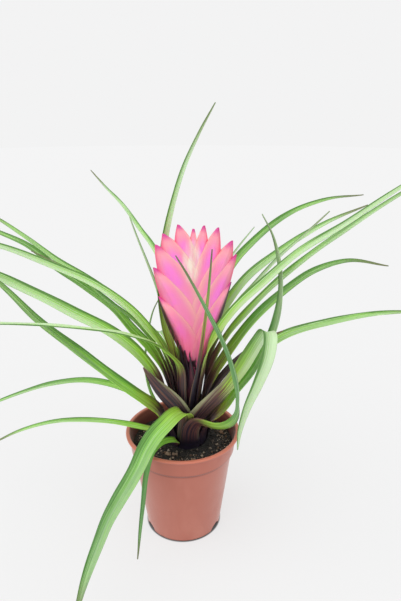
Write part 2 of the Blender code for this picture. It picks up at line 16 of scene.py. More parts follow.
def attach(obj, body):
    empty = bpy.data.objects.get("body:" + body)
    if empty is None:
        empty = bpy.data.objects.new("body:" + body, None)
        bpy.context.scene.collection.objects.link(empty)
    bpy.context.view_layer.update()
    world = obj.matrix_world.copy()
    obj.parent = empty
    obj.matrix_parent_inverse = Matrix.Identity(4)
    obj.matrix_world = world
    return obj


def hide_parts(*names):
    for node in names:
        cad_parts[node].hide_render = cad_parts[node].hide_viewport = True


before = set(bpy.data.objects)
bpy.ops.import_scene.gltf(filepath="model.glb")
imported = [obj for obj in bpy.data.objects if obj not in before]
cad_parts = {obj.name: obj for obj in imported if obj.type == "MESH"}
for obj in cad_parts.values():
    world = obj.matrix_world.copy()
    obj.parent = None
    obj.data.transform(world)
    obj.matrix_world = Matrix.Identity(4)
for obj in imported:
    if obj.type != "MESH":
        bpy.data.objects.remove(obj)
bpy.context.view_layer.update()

MM = 0.001
BODY = "root"

# Pot
RIM_R = 45.0
RIM_Z = 86.0
RIM_THICK = 1.6
RIM_WIDTH = 3.0
COLLAR_R = 42.4
COLLAR_BOTTOM_R = 41.0
COLLAR_BOTTOM_Z = 70.5
BODY_TOP_R = 39.2
BODY_TOP_Z = 69.0
FOOT_R = 30.0
WALL = 1.3
FLOOR_TOP = 1.6
POT_STEPS = 160
POT_ROUNDING = 0.45
DRAIN_ANGLES = (90, 210, 330)
DRAIN_WIDTH = 12.0
DRAIN_HEIGHT = 6.0
DRAIN_DEPTH = 16.0

# Soil
SOIL_Z = 75.0
SOIL_RELIEF = 1.1
SOIL_GAP = 0.35
SOIL_EDGE = COLLAR_BOTTOM_R - WALL - 2 * SOIL_GAP
SOIL_RINGS = 46
SOIL_STEPS = 240
LUMP_WIDTH = 9.0
DIMPLE_WIDTH = 3.5
MOUND = 2.5
MOUND_R = 32.0
MOUND_SLOPE = 14.0
CRUMB_RELIEF = 1.3
CRUMB_WIDTH = 2.3
CRUMB_COUNT = 760
CRUMB_SIZES = (0.5, 2.3, 0.9)
CRUMB_TINTS = (0.05, 0.1, 0.15, 0.2, 0.3, 0.5, 0.8, 1.0)
CRUMB_TILT = 0.8
CHIP_COUNT = 12
CHIP_SECTOR = (200, 285)
CHIP_REACH = (23.0, 34.5)
CHIP_SIZES = ((3.5, 6.5), (2.0, 3.6), (1.8, 2.8))
CHIP_TINTS = (0.55, 0.8)
CHIP_TILT = 0.5
CHIP_ROUGHNESS = 0.45
FIBRE_COUNT = 70
FIBRE_STEPS = 9
FIBRE_R = 0.13
FIBRE_LENGTHS = (4, 11)
FIBRE_TINTS = (0.4, 0.9)
FIBRE_WANDER = 1.6

# Stem
STEM_X = 4.0
STEM_R = 16.8
STEM_CONE_Z = 72.5
STEM_STEPS = 72
STALK_R = 5.2
STALK_Z = 93.0
STALK_TOP = Vector((10.0, 0.0, 134.0))
HOLE_Z = 60.0
STALK_BRACT_BEND_R = 7.0
STALK_BRACT_THICK = 1.0
STALK_BRACT_TIP = 0.5
STALK_BRACT_ROWS = 26
STALK_BRACT_CELLS = 12

# Leaves
LAYER_0_R = 16.0
LAYER_PITCH = 1.0
BLADE_THICK = 0.5
SHEATH_LIFT = 0.4
SHEATH_UPRIGHT = 5.0
SHEATH_LENGTH = 60.0
LEAF_TAPER = 0.45
LEAF_TIP_WIDTH = 0.7
CHANNEL_FOOT = 10.0
CHANNEL_LENGTH = 45.0
CHANNEL_SHARE = 0.8
CHANNEL_LEAST_R = 2.0
ROLL_FOOT = 5.0
ROLL_LENGTH = 40.0
LEAF_ROW = 2.6
LEAF_CELLS = 14
NARROW_CELLS = 8
NARROW_BLADE = 5.2
FOLD_DEPTH = 0.055
FOLD_SHARPNESS = 0.8
WAVE_HEIGHT = 0.032
WAVE_LENGTH = 46.0

# Flower spike
SPIKE_X = 10.3
SPIKE_DEPTH = (5.0, 1.2)
SPIKE_Z = (134.0, 250.0)
SCALE_SIDES = 56
SCALE_ROWS = 48
SCALE_STEP = 0.32
SCALE_EDGE = 0.2
SCALE_TIP = 0.4
SCALE_FOOT_WIDTH = 3.0
SCALE_BLUNTNESS = (1.5, 0.3)
MARGIN_OVERLAP = 2.9

# What each leaf's looks say: lightness of its green, blueness, how far up from
# its foot the purple reaches, how olive it is above that, how pale the upper
# margin of its sheath is, and how whitish it grows towards its tip. All but
# the reach run from 0 to 1.
LOOKS = ("tone", "blueness", "reach", "olive", "pale", "fade")

# Every leaf: name, azimuth of its foot, layer (0 is the outermost), width of
# its sheath, width of its blade, the roll that turns its upper face towards
# the front, its looks, and the points that its midrib passes. A point is
# (reach, height) in the upright plane of the azimuth, or (x, y, z).
LEAVES = (
    ("back_left_arch", 118, 9, 7, 5.5, -25, (0.60, 0.2, 60, 0.2, 0.1, 0.3),
     [(8, 122), (13, 150), (24, 186), (40, 210), (61, 222), (85, 230), (121, 243), (170, 254),
      (214, 265)]),
    ("back_left_thread", 142, 6, 5, 3.5, -20, (0.40, 0.4, 58, 0.2, 0.1, 0.8),
     [(11, 118), (16, 140), (22, 168), (28, 195), (39, 218), (46, 231), (55, 249)]),
    ("back_riser", 139, 8, 7, 8.2, -17, (0.85, 0.0, 57, 0.7, 0.0, 0.6),
     [(-2.3, 6.6, 122), (-7.5, 9.5, 148), (-13, 10.5, 170), (-15, 11.5, 186), (-15, 13, 215),
      (-11, 16, 242), (-4.6, 22, 267), (2.3, 30, 287), (12.4, 38, 308), (25, 48, 330)]),
    ("left_far_arch", 164, 7, 8.5, 8, -25, (0.54, 0.0, 62, 0.2, 0.1, 0.1),
     [(10, 122), (15.2, 140), (21, 158), (32, 170), (62, 194), (82, 206), (104, 217), (129, 233),
      (150, 245), (182, 258)]),
    ("left_dark", 172, 5, 18, 9.5, -35, (0.33, 0.0, 60, 0.2, 0.1, 0.0),
     [(12, 108), (14.5, 124), (20, 141), (30, 156), (42, 169), (56, 186), (76, 201), (100, 217),
      (116, 230), (138, 240), (178, 252)]),
    ("left_slim_pair", 179, 6, 7, 5, -25, (0.40, 0.1, 62, 0.2, 0.1, 0.0),
     [(11.5, 118), (15.5, 136), (23, 156), (36, 175), (61, 197), (79, 214), (91, 221),
      (110, 231)]),
    ("left_light", 190, 9, 7.5, 8.5, -40, (0.80, 0.0, 62, 0.2, 0.1, 0.7),
     [(8.2, 122), (11.8, 139), (18, 156), (26, 170), (42, 191), (63, 209), (92, 225), (126, 241),
      (162, 250), (196, 249)]),
    ("left_broad", 196, 4, 13, 13, -40, (0.80, 0.0, 58, 0.2, 0.1, 0.45),
     [(14, 106), (19, 121), (27, 139), (38, 157), (58, 177), (81, 193), (107, 211), (126, 223),
      (165, 240), (205, 243)]),
    ("left_short_sheath", 258, 3, 16, 19, 45, (0.20, 0.0, 88, 0.6, 0.9, 0.0),
     [(2.4, -13.3, 92), (1.5, -14.2, 104), (-4, -15, 115), (-10, -15.8, 123.5), (-16, -16.2, 131),
      (-22, -16, 139), (-27.8, -15.4, 147.5)]),
    ("left_stiff", 201, 1, 20, 11.5, -40, (0.42, 0.0, 34, 0.6, 0.2, 0.05),
     [(17, 93), (25, 108), (37, 121), (52, 136), (75, 161), (107, 196), (126, 222), (148, 246)]),
    ("left_front_thread", 236, 8, 8, 9.5, -22, (0.85, 0.0, 58, 0.3, 0.1, 0.5),
     [(-0.5, -9.5, 125), (-2, -12.5, 147), (-10, -18, 160), (-17, -22, 168), (-35, -30, 179),
      (-61, -42, 189), (-92, -54, 197), (-122, -66, 202), (-150, -77, 198), (-188, -92, 184)]),
    ("left_low_arch", 171, 0, 6, 7.5, -20, (0.58, 0.2, 18, 0.3, 0.1, 0.1),
     [(17.5, 87), (32, 106), (58, 119), (82, 121.5), (108, 117), (134, 107.5), (158, 96.5),
      (196, 75)]),
    ("left_lowest", 195, 0, 7, 6, -20, (0.70, 0.0, 18, 0.5, 0.1, 0.0),
     [(17, 84), (32, 91), (52, 99), (80, 106.5), (103, 108.5), (126, 105), (147, 97)]),
    ("left_bow", 146, 0, 5, 3.2, 0, (0.65, 0.2, 20, 0.2, 0.0, 0.0),
     [(17, 86), (28, 94), (37, 107), (42, 130), (38, 157), (31, 181), (24, 193)]),
    ("front_strap", 262, 1, 10, 17.5, -42, (0.42, 0.4, 34, 0.4, 0.2, 0.2),
     [(1.6, -17.0, 90), (2.6, -17.9, 101), (3.0, -19.2, 109), (0.8, -22.8, 114),
      (-4.5, -28.8, 115), (-11, -36, 112), (-17.2, -42.5, 108), (-23, -50, 102),
      (-29.4, -62, 92.8), (-40.2, -80, 81), (-46.2, -89, 73), (-51, -97, 63.5), (-55.7, -104, 53),
      (-60.5, -110.5, 40), (-65, -117, 24), (-67, -120, 14)]),
    ("front_narrow", 230, 0, 7, 5, 0, (0.20, 0.7, 12, 0.3, 0.2, 0.0),
     [(-4, -15, 84), (-13, -26, 91.5), (-21, -39, 91), (-24.5, -47, 80), (-27.5, -52, 57),
      (-30, -54, 36), (-33, -56, 8)]),
    ("front_kinked", 276, 0, 17, 8.8, 0, (0.16, 0.8, 40, 0.3, 0.1, 0.0),
     [(6, -18.6, 87), (7.4, -20.6, 98), (11.6, -22.7, 104.8), (17.5, -24.9, 105),
      (24.2, -27.6, 104.7), (31, -30.8, 107), (37, -34.5, 113), (40.4, -37.5, 122),
      (41, -39.5, 132), (40, -41, 145), (37.8, -42, 156), (33.7, -42, 170), (28.9, -42, 182),
      (22.5, -41, 195), (4.8, -36, 227), (-2, -32, 237)]),
    ("front_thread", 288, 8, 5, 3.6, 0, (0.30, 0.0, 74, 1.0, 0.1, 0.0),
     [(8.2, -11.8, 122), (12.3, -14.6, 145), (15.5, -17, 168), (17, -19, 182), (19, -20, 200),
      (22, -20, 238)]),
    ("right_top_arch", 66, 7, 8, 8, 6, (0.36, 0.1, 58, 0.2, 0.1, 0.0),
     [(9.1, 11.4, 122), (11.5, 14.2, 146), (17, 17.2, 165), (25, 19.5, 185), (32.8, 22.8, 205),
      (43.4, 30.8, 219), (52.9, 38.2, 227), (81.2, 60.3, 244), (116.7, 88, 252),
      (161.6, 123.1, 251)]),
    ("right_thread", 99, 8, 3.2, 3.2, -20, (0.40, 0.4, 56, 0.2, 0.1, 0.8),
     [(3.2, 13.0, 122), (7.3, 17.8, 147), (12.5, 21, 165), (19.5, 26, 185), (28.1, 34.4, 203),
      (41.3, 53.2, 216), (47, 61.4, 221), (59.6, 79.5, 231)]),
    ("right_curl", 345, 1, 22, 14.5, 35, (0.20, 0.3, 27, 1.0, 0.2, 0.7),
     [(20.5, -4.5, 92), (30, -6, 105), (42, -8, 125), (53, -9, 142), (60.5, -9.5, 158),
      (66.5, -10, 171), (70, -13, 190), (71, -14, 206), (70.5, -13, 219), (68, -11, 232),
      (63, -11, 247), (55.5, -11, 260)]),
    ("right_upper", 29, 8, 8, 9.5, 35, (0.60, 0.2, 60, 0.2, 0.1, 0.2),
     [(10, 118), (13, 142), (19, 162), (27.5, 176), (50, 202), (81, 220), (126, 238), (172, 249)]),
    ("right_slim", 18, 6, 7, 5, 25, (0.40, 0.1, 74, 0.3, 0.1, 0.6),
     [(10.8, 116), (14.4, 136), (20, 152), (27.3, 167), (42, 190), (51, 199), (73, 221), (91, 235),
      (113, 253)]),
    ("right_long", 335, 9, 8, 9, 60, (0.75, 0.1, 62, 0.3, 0.1, 0.8),
     [(13.9, -7.1, 120), (16.9, -10, 141), (19.6, -10.8, 157), (24, -11.2, 169),
      (36.7, -12.2, 190), (57.8, -15, 213), (80, -18, 235), (110, -21, 256), (142, -24, 280),
      (172, -27, 300)]),
    ("right_long_low", 354, 5, 17, 9.2, 25, (0.62, 0.1, 78, 0.2, 0.1, 0.3),
     [(12.2, 112), (17.8, 140), (29.5, 166), (46, 189), (74, 219.5), (111, 250.5), (146, 276.5),
      (178, 298)]),
    ("right_arch", 7, 4, 18, 10.5, 35, (0.38, 0.1, 56, 0.6, 0.1, 0.0),
     [(13.5, 108), (18.5, 126), (33, 153), (55, 182), (75, 200), (94, 213), (118, 220),
      (152, 215)]),
    ("right_far", 12, 0, 12, 10.5, 30, (0.78, 0.1, 30, 0.3, 0.1, 0.1),
     [(17.5, 87), (29, 106), (48, 137), (74, 158), (112, 167), (174, 171), (204, 168)]),
    ("right_folded", 296, 2, 24, 15.5, -15, (0.75, 0.2, 60, 0.4, 0.9, 1.0),
     [(10.6, -14.6, 94), (13, -15.8, 104), (18, -16.8, 112), (24.3, -18, 120), (33, -19.5, 131.5),
      (41.2, -22, 145.5), (49, -26, 162), (54.5, -32, 176.5), (58, -39, 186), (59.5, -47, 187.5),
      (58, -56, 178), (52, -62, 162), (44, -65, 142), (40, -66, 126), (39, -66, 112)]),
    ("right_dark_slim", 2, 3, 16, 9.5, 30, (0.15, 0.2, 118, 0.3, 0.1, 0.0),
     [(14.5, 103), (20, 120.5), (30, 135.5), (43, 149.5), (58, 162), (72, 169)]),
    ("back_droop_right", 80, 1, 15, 11, 0, (0.55, 0.2, 55, 0.3, 0.1, 0.0),
     [(17, 95), (32, 112), (58, 122), (92, 116), (130, 94), (160, 66), (178, 44)]),
    ("back_droop_left", 106, 2, 14, 10, 0, (0.50, 0.2, 55, 0.3, 0.1, 0.0),
     [(16, 98), (30, 120), (58, 134), (95, 130), (132, 108), (165, 78)]),
)

# Leaves that twist once more: where the twist starts, its length, degrees.
TWISTS = {
    "leaf_front_kinked": (58.0, 24.0, 72.0),
}

# Every bract of the spike from the lowest up: side, tip x, tip z, height of its
# foot, height where its inner margin crosses the middle of the spike, and how
# far the handle of its keel's curve lies outside the tip.
BRACTS = (
    (1, 36.6, 208.5, 134.0, 157.5, -7.8),
    (-1, -17.0, 197.5, 135.5, 166.0, -6.1),
    (1, 40.1, 229.0, 146, 174.0, -7.0),
    (-1, -19.8, 219.4, 152, 182.8, -3.4),
    (1, 37.1, 239.1, 161, 192.0, 2.0),
    (-1, -18.0, 236.2, 167, 201.0, 1.5),
    (1, 27.2, 248.4, 176, 208.0, 6.0),
    (-1, -12.6, 244.1, 182, 214.5, 5.5),
    (1, 17.4, 249.8, 190, 221.0, 7.5),
    (-1, -2.0, 250.5, 196, 226.0, 7.5),
    (-1, 8.6, 247.5, 204, 226.0, 6.5),
)
DARK_KEELS = 2

# Dark bracts of the stalk: azimuth, foot height, tip height, tip distance from
# the stalk's axis, width.
STALK_BRACTS = (
    (250, 106, 153, 9.9, 9.0),
    (228, 108, 158, 11.4, 8.0),
    (208, 108, 161, 12.6, 8.0),
    (290, 104, 149, 9.2, 7.0),
    (136, 106, 154, 12.0, 8.0),
)

# Colours, linear
LEAF_LIGHT = (0.33, 0.62, 0.15)
LEAF_FRESH = (0.35, 0.72, 0.04)
LEAF_GRASS = (0.12, 0.38, 0.014)
LEAF_DARK = (0.04, 0.155, 0.012)
LEAF_BLUE = (0.075, 0.235, 0.085)
# Painted highlight on the blades: lower side, midrib and glints
LEAF_HIGHLIGHT = (0.66, 0.87, 0.52)
LEAF_HAZE = (0.54, 0.68, 0.44)
LEAF_TIP = (0.14, 0.14, 0.06)
SHEATH_PURPLE = (0.015, 0.011, 0.023)
SHEATH_MAROON = (0.175, 0.066, 0.048)
SHEATH_OLIVE = (0.4, 0.38, 0.04)
SHEATH_MARGIN = (0.31, 0.31, 0.17)
BRACT_PINK = (1.0, 0.26, 0.48)
BRACT_VIOLET = (1.0, 0.2, 0.72)
BRACT_PEACH = (1.0, 0.42, 0.4)
BRACT_TIP = (0.66, 0.035, 0.3)
BRACT_ROSE = (0.86, 0.11, 0.25)
BRACT_KEEL = (0.048, 0.01, 0.018)
# Painted highlight on the spike
BRACT_HIGHLIGHT = (1.0, 0.87, 0.72)
STEM_DARK = (0.018, 0.008, 0.018)
STEM_WINE = (0.16, 0.035, 0.06)
PLASTIC = (0.45, 0.135, 0.09)
PLASTIC_PALE = (0.64, 0.27, 0.2)
# Painted highlight on the pot's lip
PLASTIC_LIP_HIGHLIGHT = (0.62, 0.19, 0.115)
PLASTIC_SHADE = (0.11, 0.026, 0.02)
PLASTIC_DEEP = (0.38, 0.1, 0.064)
PEAT_BLACK = (0.008, 0.007, 0.006)
PEAT_BROWN = (0.036, 0.026, 0.02)
PEAT_GREY = (0.5, 0.41, 0.32)
BARK_RUST = (0.22, 0.125, 0.07)

# Studio
STUDIO_WHITE = (0.896, 0.896, 0.898)
FLOOR_GREY = (0.20, 0.20, 0.2005)
FLOOR_GLOW = 0.745
FLOOR_R = 4000.0
SURROUND_LIGHT = 0.86
# Every sun: name, strength, spread in degrees, heading.
SUNS = (
    ("key", 1.45, 75, (0.5, 0.45, -1.0)),
    ("fill", 0.4, 60, (-0.7, 0.6, -0.5)),
)
CAMERA_PLACE = (14.2, -377.1, 332.2)
CAMERA_TILT = 69.9
CAMERA_LENS = 32.95


def ease(value):
    """Rises smoothly from 0 to 1."""
    value = max(0.0, min(1.0, value))
    return value * value * (3 - 2 * value)


def outward(azimuth):
    """Level direction at an azimuth in degrees."""
    angle = math.radians(azimuth)
    return Vector((math.cos(angle), math.sin(angle), 0.0))


# Meshes


def mesh_piece(name, shape, finish):
    """Turns a bmesh in millimetres into an object in metres."""
    bmesh.ops.scale(shape, vec=(MM, MM, MM), verts=shape.verts)
    mesh = bpy.data.meshes.new(name)
    shape.to_mesh(mesh)
    shape.free()
    piece = bpy.data.objects.new(name, mesh)
    bpy.context.scene.collection.objects.link(piece)
    mesh.materials.append(finish)
    mesh.shade_smooth()
    return piece


def apply_modifiers(piece):
    graph = bpy.context.evaluated_depsgraph_get()
    graph.update()
    final = bpy.data.meshes.new_from_object(piece.evaluated_get(graph))
    piece.modifiers.clear()
    piece.data = final


def settle(piece, node):
    """Puts a finished piece on the body in place of its solid."""
    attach(piece, BODY)
    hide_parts(node)


def thicken(piece, thickness):
    wall = piece.modifiers.new("thickness", "SOLIDIFY")
    wall.thickness = thickness * MM
    wall.offset = 0.0
    return piece


def keep_edges(piece, degrees):
    """Leaves edges sharp where faces meet at more than an angle."""
    piece.data.set_sharp_from_angle(angle=math.radians(degrees))


def mark(shape, *names):
    """Float layers of a bmesh's points, by name."""
    return {name: shape.verts.layers.float.new(name) for name in names}


def add_rod(shape, sides):
    """Points of a new upright rod, 1 high and 1 in radius."""
    return bmesh.ops.create_cone(
        shape, cap_ends=True, segments=sides, radius1=1.0, radius2=1.0, depth=1.0
    )["verts"]


def slice_rods(shape, rows):
    """Cuts the upright edges of all rods into rows."""
    upright = [edge for edge in shape.edges if abs(edge.verts[0].co.z - edge.verts[1].co.z) > 0.5]
    bmesh.ops.subdivide_edges(shape, edges=upright, cuts=rows - 1, use_grid_fill=True)


def ribbon(cells, rows):
    """A flat grid, one unit wide and long, that a ribbon is shaped from."""
    shape = bmesh.new()
    bmesh.ops.create_grid(shape, x_segments=cells, y_segments=rows, size=0.5)
    return shape


def spin_profile(shape, profile, steps):
    """Turns a profile of (radius, height) points into a closed round wall."""
    points = [shape.verts.new((radius, 0.0, height)) for radius, height in profile]
    edges = [shape.edges.new(pair) for pair in zip(points, points[1:])]
    bmesh.ops.spin(
        shape, geom=points + edges, cent=(0, 0, 0), axis=(0, 0, 1),
        angle=math.tau, steps=steps, use_merge=True,
    )
    bmesh.ops.remove_doubles(shape, verts=shape.verts, dist=0.0005)
    bmesh.ops.recalc_face_normals(shape, faces=shape.faces)


def curve_point(first, handle, last, share):
    return first.lerp(handle, share).lerp(handle.lerp(last, share), share)


# Leaves


def layer_radius(layer):
    return LAYER_0_R - LAYER_PITCH * layer


def sheath_foot(layer):
    """Height of a layer's foot on the cone of the stem."""
    slope = (STALK_Z - STEM_CONE_Z) / (STEM_R - STALK_R)
    inset = STEM_R - layer_radius(layer) + BLADE_THICK
    return STEM_CONE_Z + inset * slope + SHEATH_LIFT


def midrib_knots(azimuth, layer, points):
    """The points of a leaf's midrib, from its foot on the stem to its tip."""
    away = outward(azimuth)
    foot = Vector((STEM_X, 0.0, sheath_foot(layer))) + away * layer_radius(layer)
    knots = [foot, foot + Vector((0.0, 0.0, SHEATH_UPRIGHT))]
    for point in points:
        if len(point) == 2:
            knots.append(Vector((STEM_X, 0.0, point[1])) + away * point[0])
        else:
            knots.append(Vector(point))
    return knots, away


def smooth_path(knots, steps=14):
    """A smooth curve through the knots, as closely spaced points."""
    spans = [(b - a).length for a, b in zip(knots, knots[1:])]
    slopes = [(b - a) / span for a, b, span in zip(knots, knots[1:], spans)]
    tangents = [slopes[0]]
    for i in range(1, len(knots) - 1):
        mixed = slopes[i] * spans[i - 1] + slopes[i - 1] * spans[i]
        tangents.append(mixed / (spans[i] + spans[i - 1]))
    tangents.append(slopes[-1])
    path = []
    for i, span in enumerate(spans):
        first = knots[i] + tangents[i] * span / 3
        second = knots[i + 1] - tangents[i + 1] * span / 3
        path += interpolate_bezier(knots[i], first, second, knots[i + 1], steps + 1)[:-1]
    path.append(knots[-1])
    return path


def even_stations(path, rows):
    """Points at equal steps along the path, and its whole length."""
    reached = [0.0]
    for a, b in zip(path, path[1:]):
        reached.append(reached[-1] + (b - a).length)
    stations = []
    index = 0
    for row in range(rows + 1):
        wanted = reached[-1] * row / rows
        while index < len(path) - 2 and reached[index + 1] < wanted:
            index += 1
        part = (wanted - reached[index]) / (reached[index + 1] - reached[index])
        stations.append(path[index].lerp(path[index + 1], min(1.0, part)))
    return stations, reached[-1]


def ribbon_frames(stations, inward):
    """Side and inward directions at each station, turning as little as can be."""
    frames = []
    normal = inward
    for i in range(len(stations)):
        ahead = stations[min(i + 1, len(stations) - 1)] - stations[max(i - 1, 0)]
        ahead.normalize()
        normal = (normal - ahead * normal.dot(ahead)).normalized()
        frames.append((ahead.cross(normal).normalized(), normal))
    return frames


def leaf_width(share, along, sheath, blade):
    """Width of a leaf: sheath at the foot, long taper, fine tip."""
    lower = sheath + (blade - sheath) * ease(along / SHEATH_LENGTH)
    taper = (1 - LEAF_TAPER * share) * (1 - share**4) ** 0.9
    return LEAF_TIP_WIDTH + (lower - LEAF_TIP_WIDTH) * taper


def channel_growth(along):
    """How far the blade has opened from the stem's round into its channel."""
    return ease((along - CHANNEL_FOOT) / CHANNEL_LENGTH)


def rolled(side, normal, degrees):
    """The two directions across a leaf, turned about its length."""
    turn = math.radians(degrees)
    return (
        side * math.cos(turn) - normal * math.sin(turn),
        normal * math.cos(turn) + side * math.sin(turn),
    )


def leaf_mesh(name, azimuth, layer, sheath, blade, roll, looks, points):
    """A folded, slightly wavy ribbon along the midrib, with its own marks."""
    twist_start, twist_length, twist = TWISTS.get(name, (0.0, 1.0, 0.0))
    knots, away = midrib_knots(azimuth, layer, points)
    path = smooth_path(knots)
    rows = round(sum((b - a).length for a, b in zip(path, path[1:])) / LEAF_ROW)
    stations, length = even_stations(path, rows)
    frames = ribbon_frames(stations, -away)
    phase = random.Random(name).uniform(0, math.tau)
    upper = 1.0 if rolled(*frames[rows // 2], roll)[0].z > 0 else -1.0
    shape = ribbon(LEAF_CELLS if blade > NARROW_BLADE else NARROW_CELLS, rows)
    marks = mark(shape, "across", "breadth", "along", "share", *LOOKS)
    for point in shape.verts:
        row = round((point.co.y + 0.5) * rows)
        across = 2 * point.co.x
        share = row / rows
        along = share * length
        width = leaf_width(share, along, sheath, blade)
        grown = channel_growth(along)
        foot_radius = layer_radius(layer)
        channel = max(CHANNEL_LEAST_R, CHANNEL_SHARE * width)
        radius = foot_radius + (channel - foot_radius) * grown
        bend = point.co.x * width / radius
        turn = roll * ease((along - ROLL_FOOT * (1 + layer)) / ROLL_LENGTH)
        turn += twist * ease((along - twist_start) / twist_length)
        side, normal = rolled(*frames[row], turn)
        fold = FOLD_DEPTH * (abs(across) ** FOLD_SHARPNESS - across**2)
        wave = math.sin(math.tau * along / WAVE_LENGTH + phase + across)
        relief = fold + WAVE_HEIGHT * wave * across**2
        lift = radius * (1 - math.cos(bend)) + relief * grown * width
        values = (across * upper, point.co.x * width, along, share, *looks)
        for key, value in zip(marks.values(), values):
            point[key] = value
        point.co = stations[row] + side * radius * math.sin(bend) + normal * lift
    return shape


def make_leaf(finish, name, *design):
    blade = mesh_piece("blade_" + name, leaf_mesh("leaf_" + name, *design), finish)
    settle(thicken(blade, BLADE_THICK), "leaf_" + name)


# Flower spike


def spike_depth(height):
    """Half the depth of the spike's core, which thins towards its top."""
    share = (height - SPIKE_Z[0]) / (SPIKE_Z[1] - SPIKE_Z[0])
    return SPIKE_DEPTH[0] + (SPIKE_DEPTH[1] - SPIKE_DEPTH[0]) * max(0.0, min(1.0, share))


def bract_outline(side, tip, foot, crossing, bulge, share):
    """Keel point and inner margin point of a bract, in the x-z plane."""
    half_foot = side * SCALE_FOOT_WIDTH / 2
    keel_handle = Vector((tip.x + side * bulge, (foot + tip.y) / 2))
    keel = curve_point(Vector((SPIKE_X + half_foot, foot)), keel_handle, tip, share)
    cross = Vector((SPIKE_X - side * MARGIN_OVERLAP, crossing))
    turn = (crossing - foot) / (tip.y - foot)
    if share < turn:
        return keel, Vector((SPIKE_X - half_foot, foot)).lerp(cross, share / turn)
    handle = cross + Vector((0.25 * (tip.x - cross.x), 0.6 * (tip.y - cross.y)))
    end = tip - Vector((side * SCALE_BLUNTNESS[0], SCALE_BLUNTNESS[1]))
    return keel, curve_point(cross, handle, end, (share - turn) / (1 - turn))


def place_on_bract(point, marks):
    """Moves a point of an upright rod to its place on the rod's bract."""
    number = round(point[marks["number"]])
    side, tip_x, tip_z, foot, crossing, bulge = BRACTS[number]
    share = point.co.z + 0.5
    across = (1 - point.co.x / math.hypot(point.co.x, point.co.y)) / 2
    front = -1 if point.co.y < -1e-4 else (1 if point.co.y > 1e-4 else 0)
    keel, margin = bract_outline(side, Vector((tip_x, tip_z)), foot, crossing, bulge, share)
    place = keel.lerp(margin, across)
    depth = spike_depth(place.y) + SCALE_STEP * (len(BRACTS) - 1 - number)
    depth *= (0.5 + 0.5 * ease(share / 0.3)) * (1 - share**12)
    depth += SCALE_TIP
    depth *= min(1.0, across / 0.4) ** 0.8 * math.sqrt(1 - across**60)
    point[marks["across"]] = across
    point[marks["share"]] = share
    point[marks["keel"]] = 1.0 if number < DARK_KEELS else 0.0
    point.co = Vector((place.x, front * max(depth, SCALE_EDGE), place.y))


def make_quill(finish):
    """Flat spike: two ranks of folded bracts, each over the next one up."""
    shape = bmesh.new()
    marks = mark(shape, "across", "share", "keel", "number")
    for number in range(len(BRACTS)):
        for point in add_rod(shape, SCALE_SIDES):
            point[marks["number"]] = number
    slice_rods(shape, SCALE_ROWS)
    for point in shape.verts:
        place_on_bract(point, marks)
    bmesh.ops.recalc_face_normals(shape, faces=shape.faces)
    quill = mesh_piece("quill_bracts", shape, finish)
    keep_edges(quill, 60)
    settle(quill, "quill")


# Stem


def stalk_centre(height):
    share = min(1.0, (height - STALK_Z) / (STALK_TOP.z - STALK_Z))
    return Vector((STEM_X + (STALK_TOP.x - STEM_X) * share, 0.0, height))


def stalk_bract_mesh(azimuth, foot, tip, reach, width):
    """One dark scale that clasps the stalk and the foot of the spike."""
    away = outward(azimuth)
    bulge = (0.72 * reach + 1.2, (foot + tip) / 2 + 6)
    course = ((2.5, foot), (5.4, foot + 10), bulge, (reach, tip))
    knots = [stalk_centre(height) + away * distance for distance, height in course]
    stations, _ = even_stations(smooth_path(knots), STALK_BRACT_ROWS)
    frames = ribbon_frames(stations, -away)
    radius = STALK_BRACT_BEND_R
    shape = ribbon(STALK_BRACT_CELLS, STALK_BRACT_ROWS)
    for point in shape.verts:
        row = round((point.co.y + 0.5) * STALK_BRACT_ROWS)
        taper = 1 - (row / STALK_BRACT_ROWS) ** 2
        bend = point.co.x * (STALK_BRACT_TIP + (width - STALK_BRACT_TIP) * taper) / radius
        side, normal = frames[row]
        lift = normal * radius * (1 - math.cos(bend))
        point.co = stations[row] + side * radius * math.sin(bend) + lift
    return shape


def make_stem(finish):
    """Cone that carries the leaves, the leaning stalk and its dark bracts."""
    profile = (
        (0.0, STALK_TOP.z - 0.4),
        (3.6, STALK_TOP.z - 0.6),
        (4.4, STALK_TOP.z - 3.0),
        (STALK_R, STALK_Z + 8.0),
        (STALK_R, STALK_Z),
        (STEM_R, STEM_CONE_Z),
        (STEM_R, STEM_CONE_Z - 6.0),
        (STEM_R - 4.0, HOLE_Z + SOIL_GAP),
        (0.0, HOLE_Z + SOIL_GAP),
    )
    shape = bmesh.new()
    spin_profile(shape, profile, STEM_STEPS)
    for point in shape.verts:
        height = point.co.z
        point.co.x += stalk_centre(height).x if height > STALK_Z else STEM_X
    stem = mesh_piece("stem_and_stalk", shape, finish)
    keep_edges(stem, 40)
    settle(stem, "flower_stem")
    for number, design in enumerate(STALK_BRACTS):
        scale = mesh_piece(f"stalk_bract_{number + 1}", stalk_bract_mesh(*design), finish)
        settle(thicken(scale, STALK_BRACT_THICK), "flower_stem")


# Pot


def pot_inner_radius(height):
    """Inside radius of the pot's wall below the collar."""
    return FOOT_R - WALL + (BODY_TOP_R - FOOT_R) * height / BODY_TOP_Z


def softened(profile, radius, steps=3):
    """The profile with each inner corner turned into a small round."""
    corners = [Vector(point) for point in profile]
    path = [corners[0]]
    for before, corner, after in zip(corners, corners[1:], corners[2:]):
        first, last = (
            corner + (end - corner).normalized() * min(radius, 0.4 * (end - corner).length)
            for end in (before, after)
        )
        path += [curve_point(first, corner, last, step / steps) for step in range(steps + 1)]
    return path + [corners[-1]]


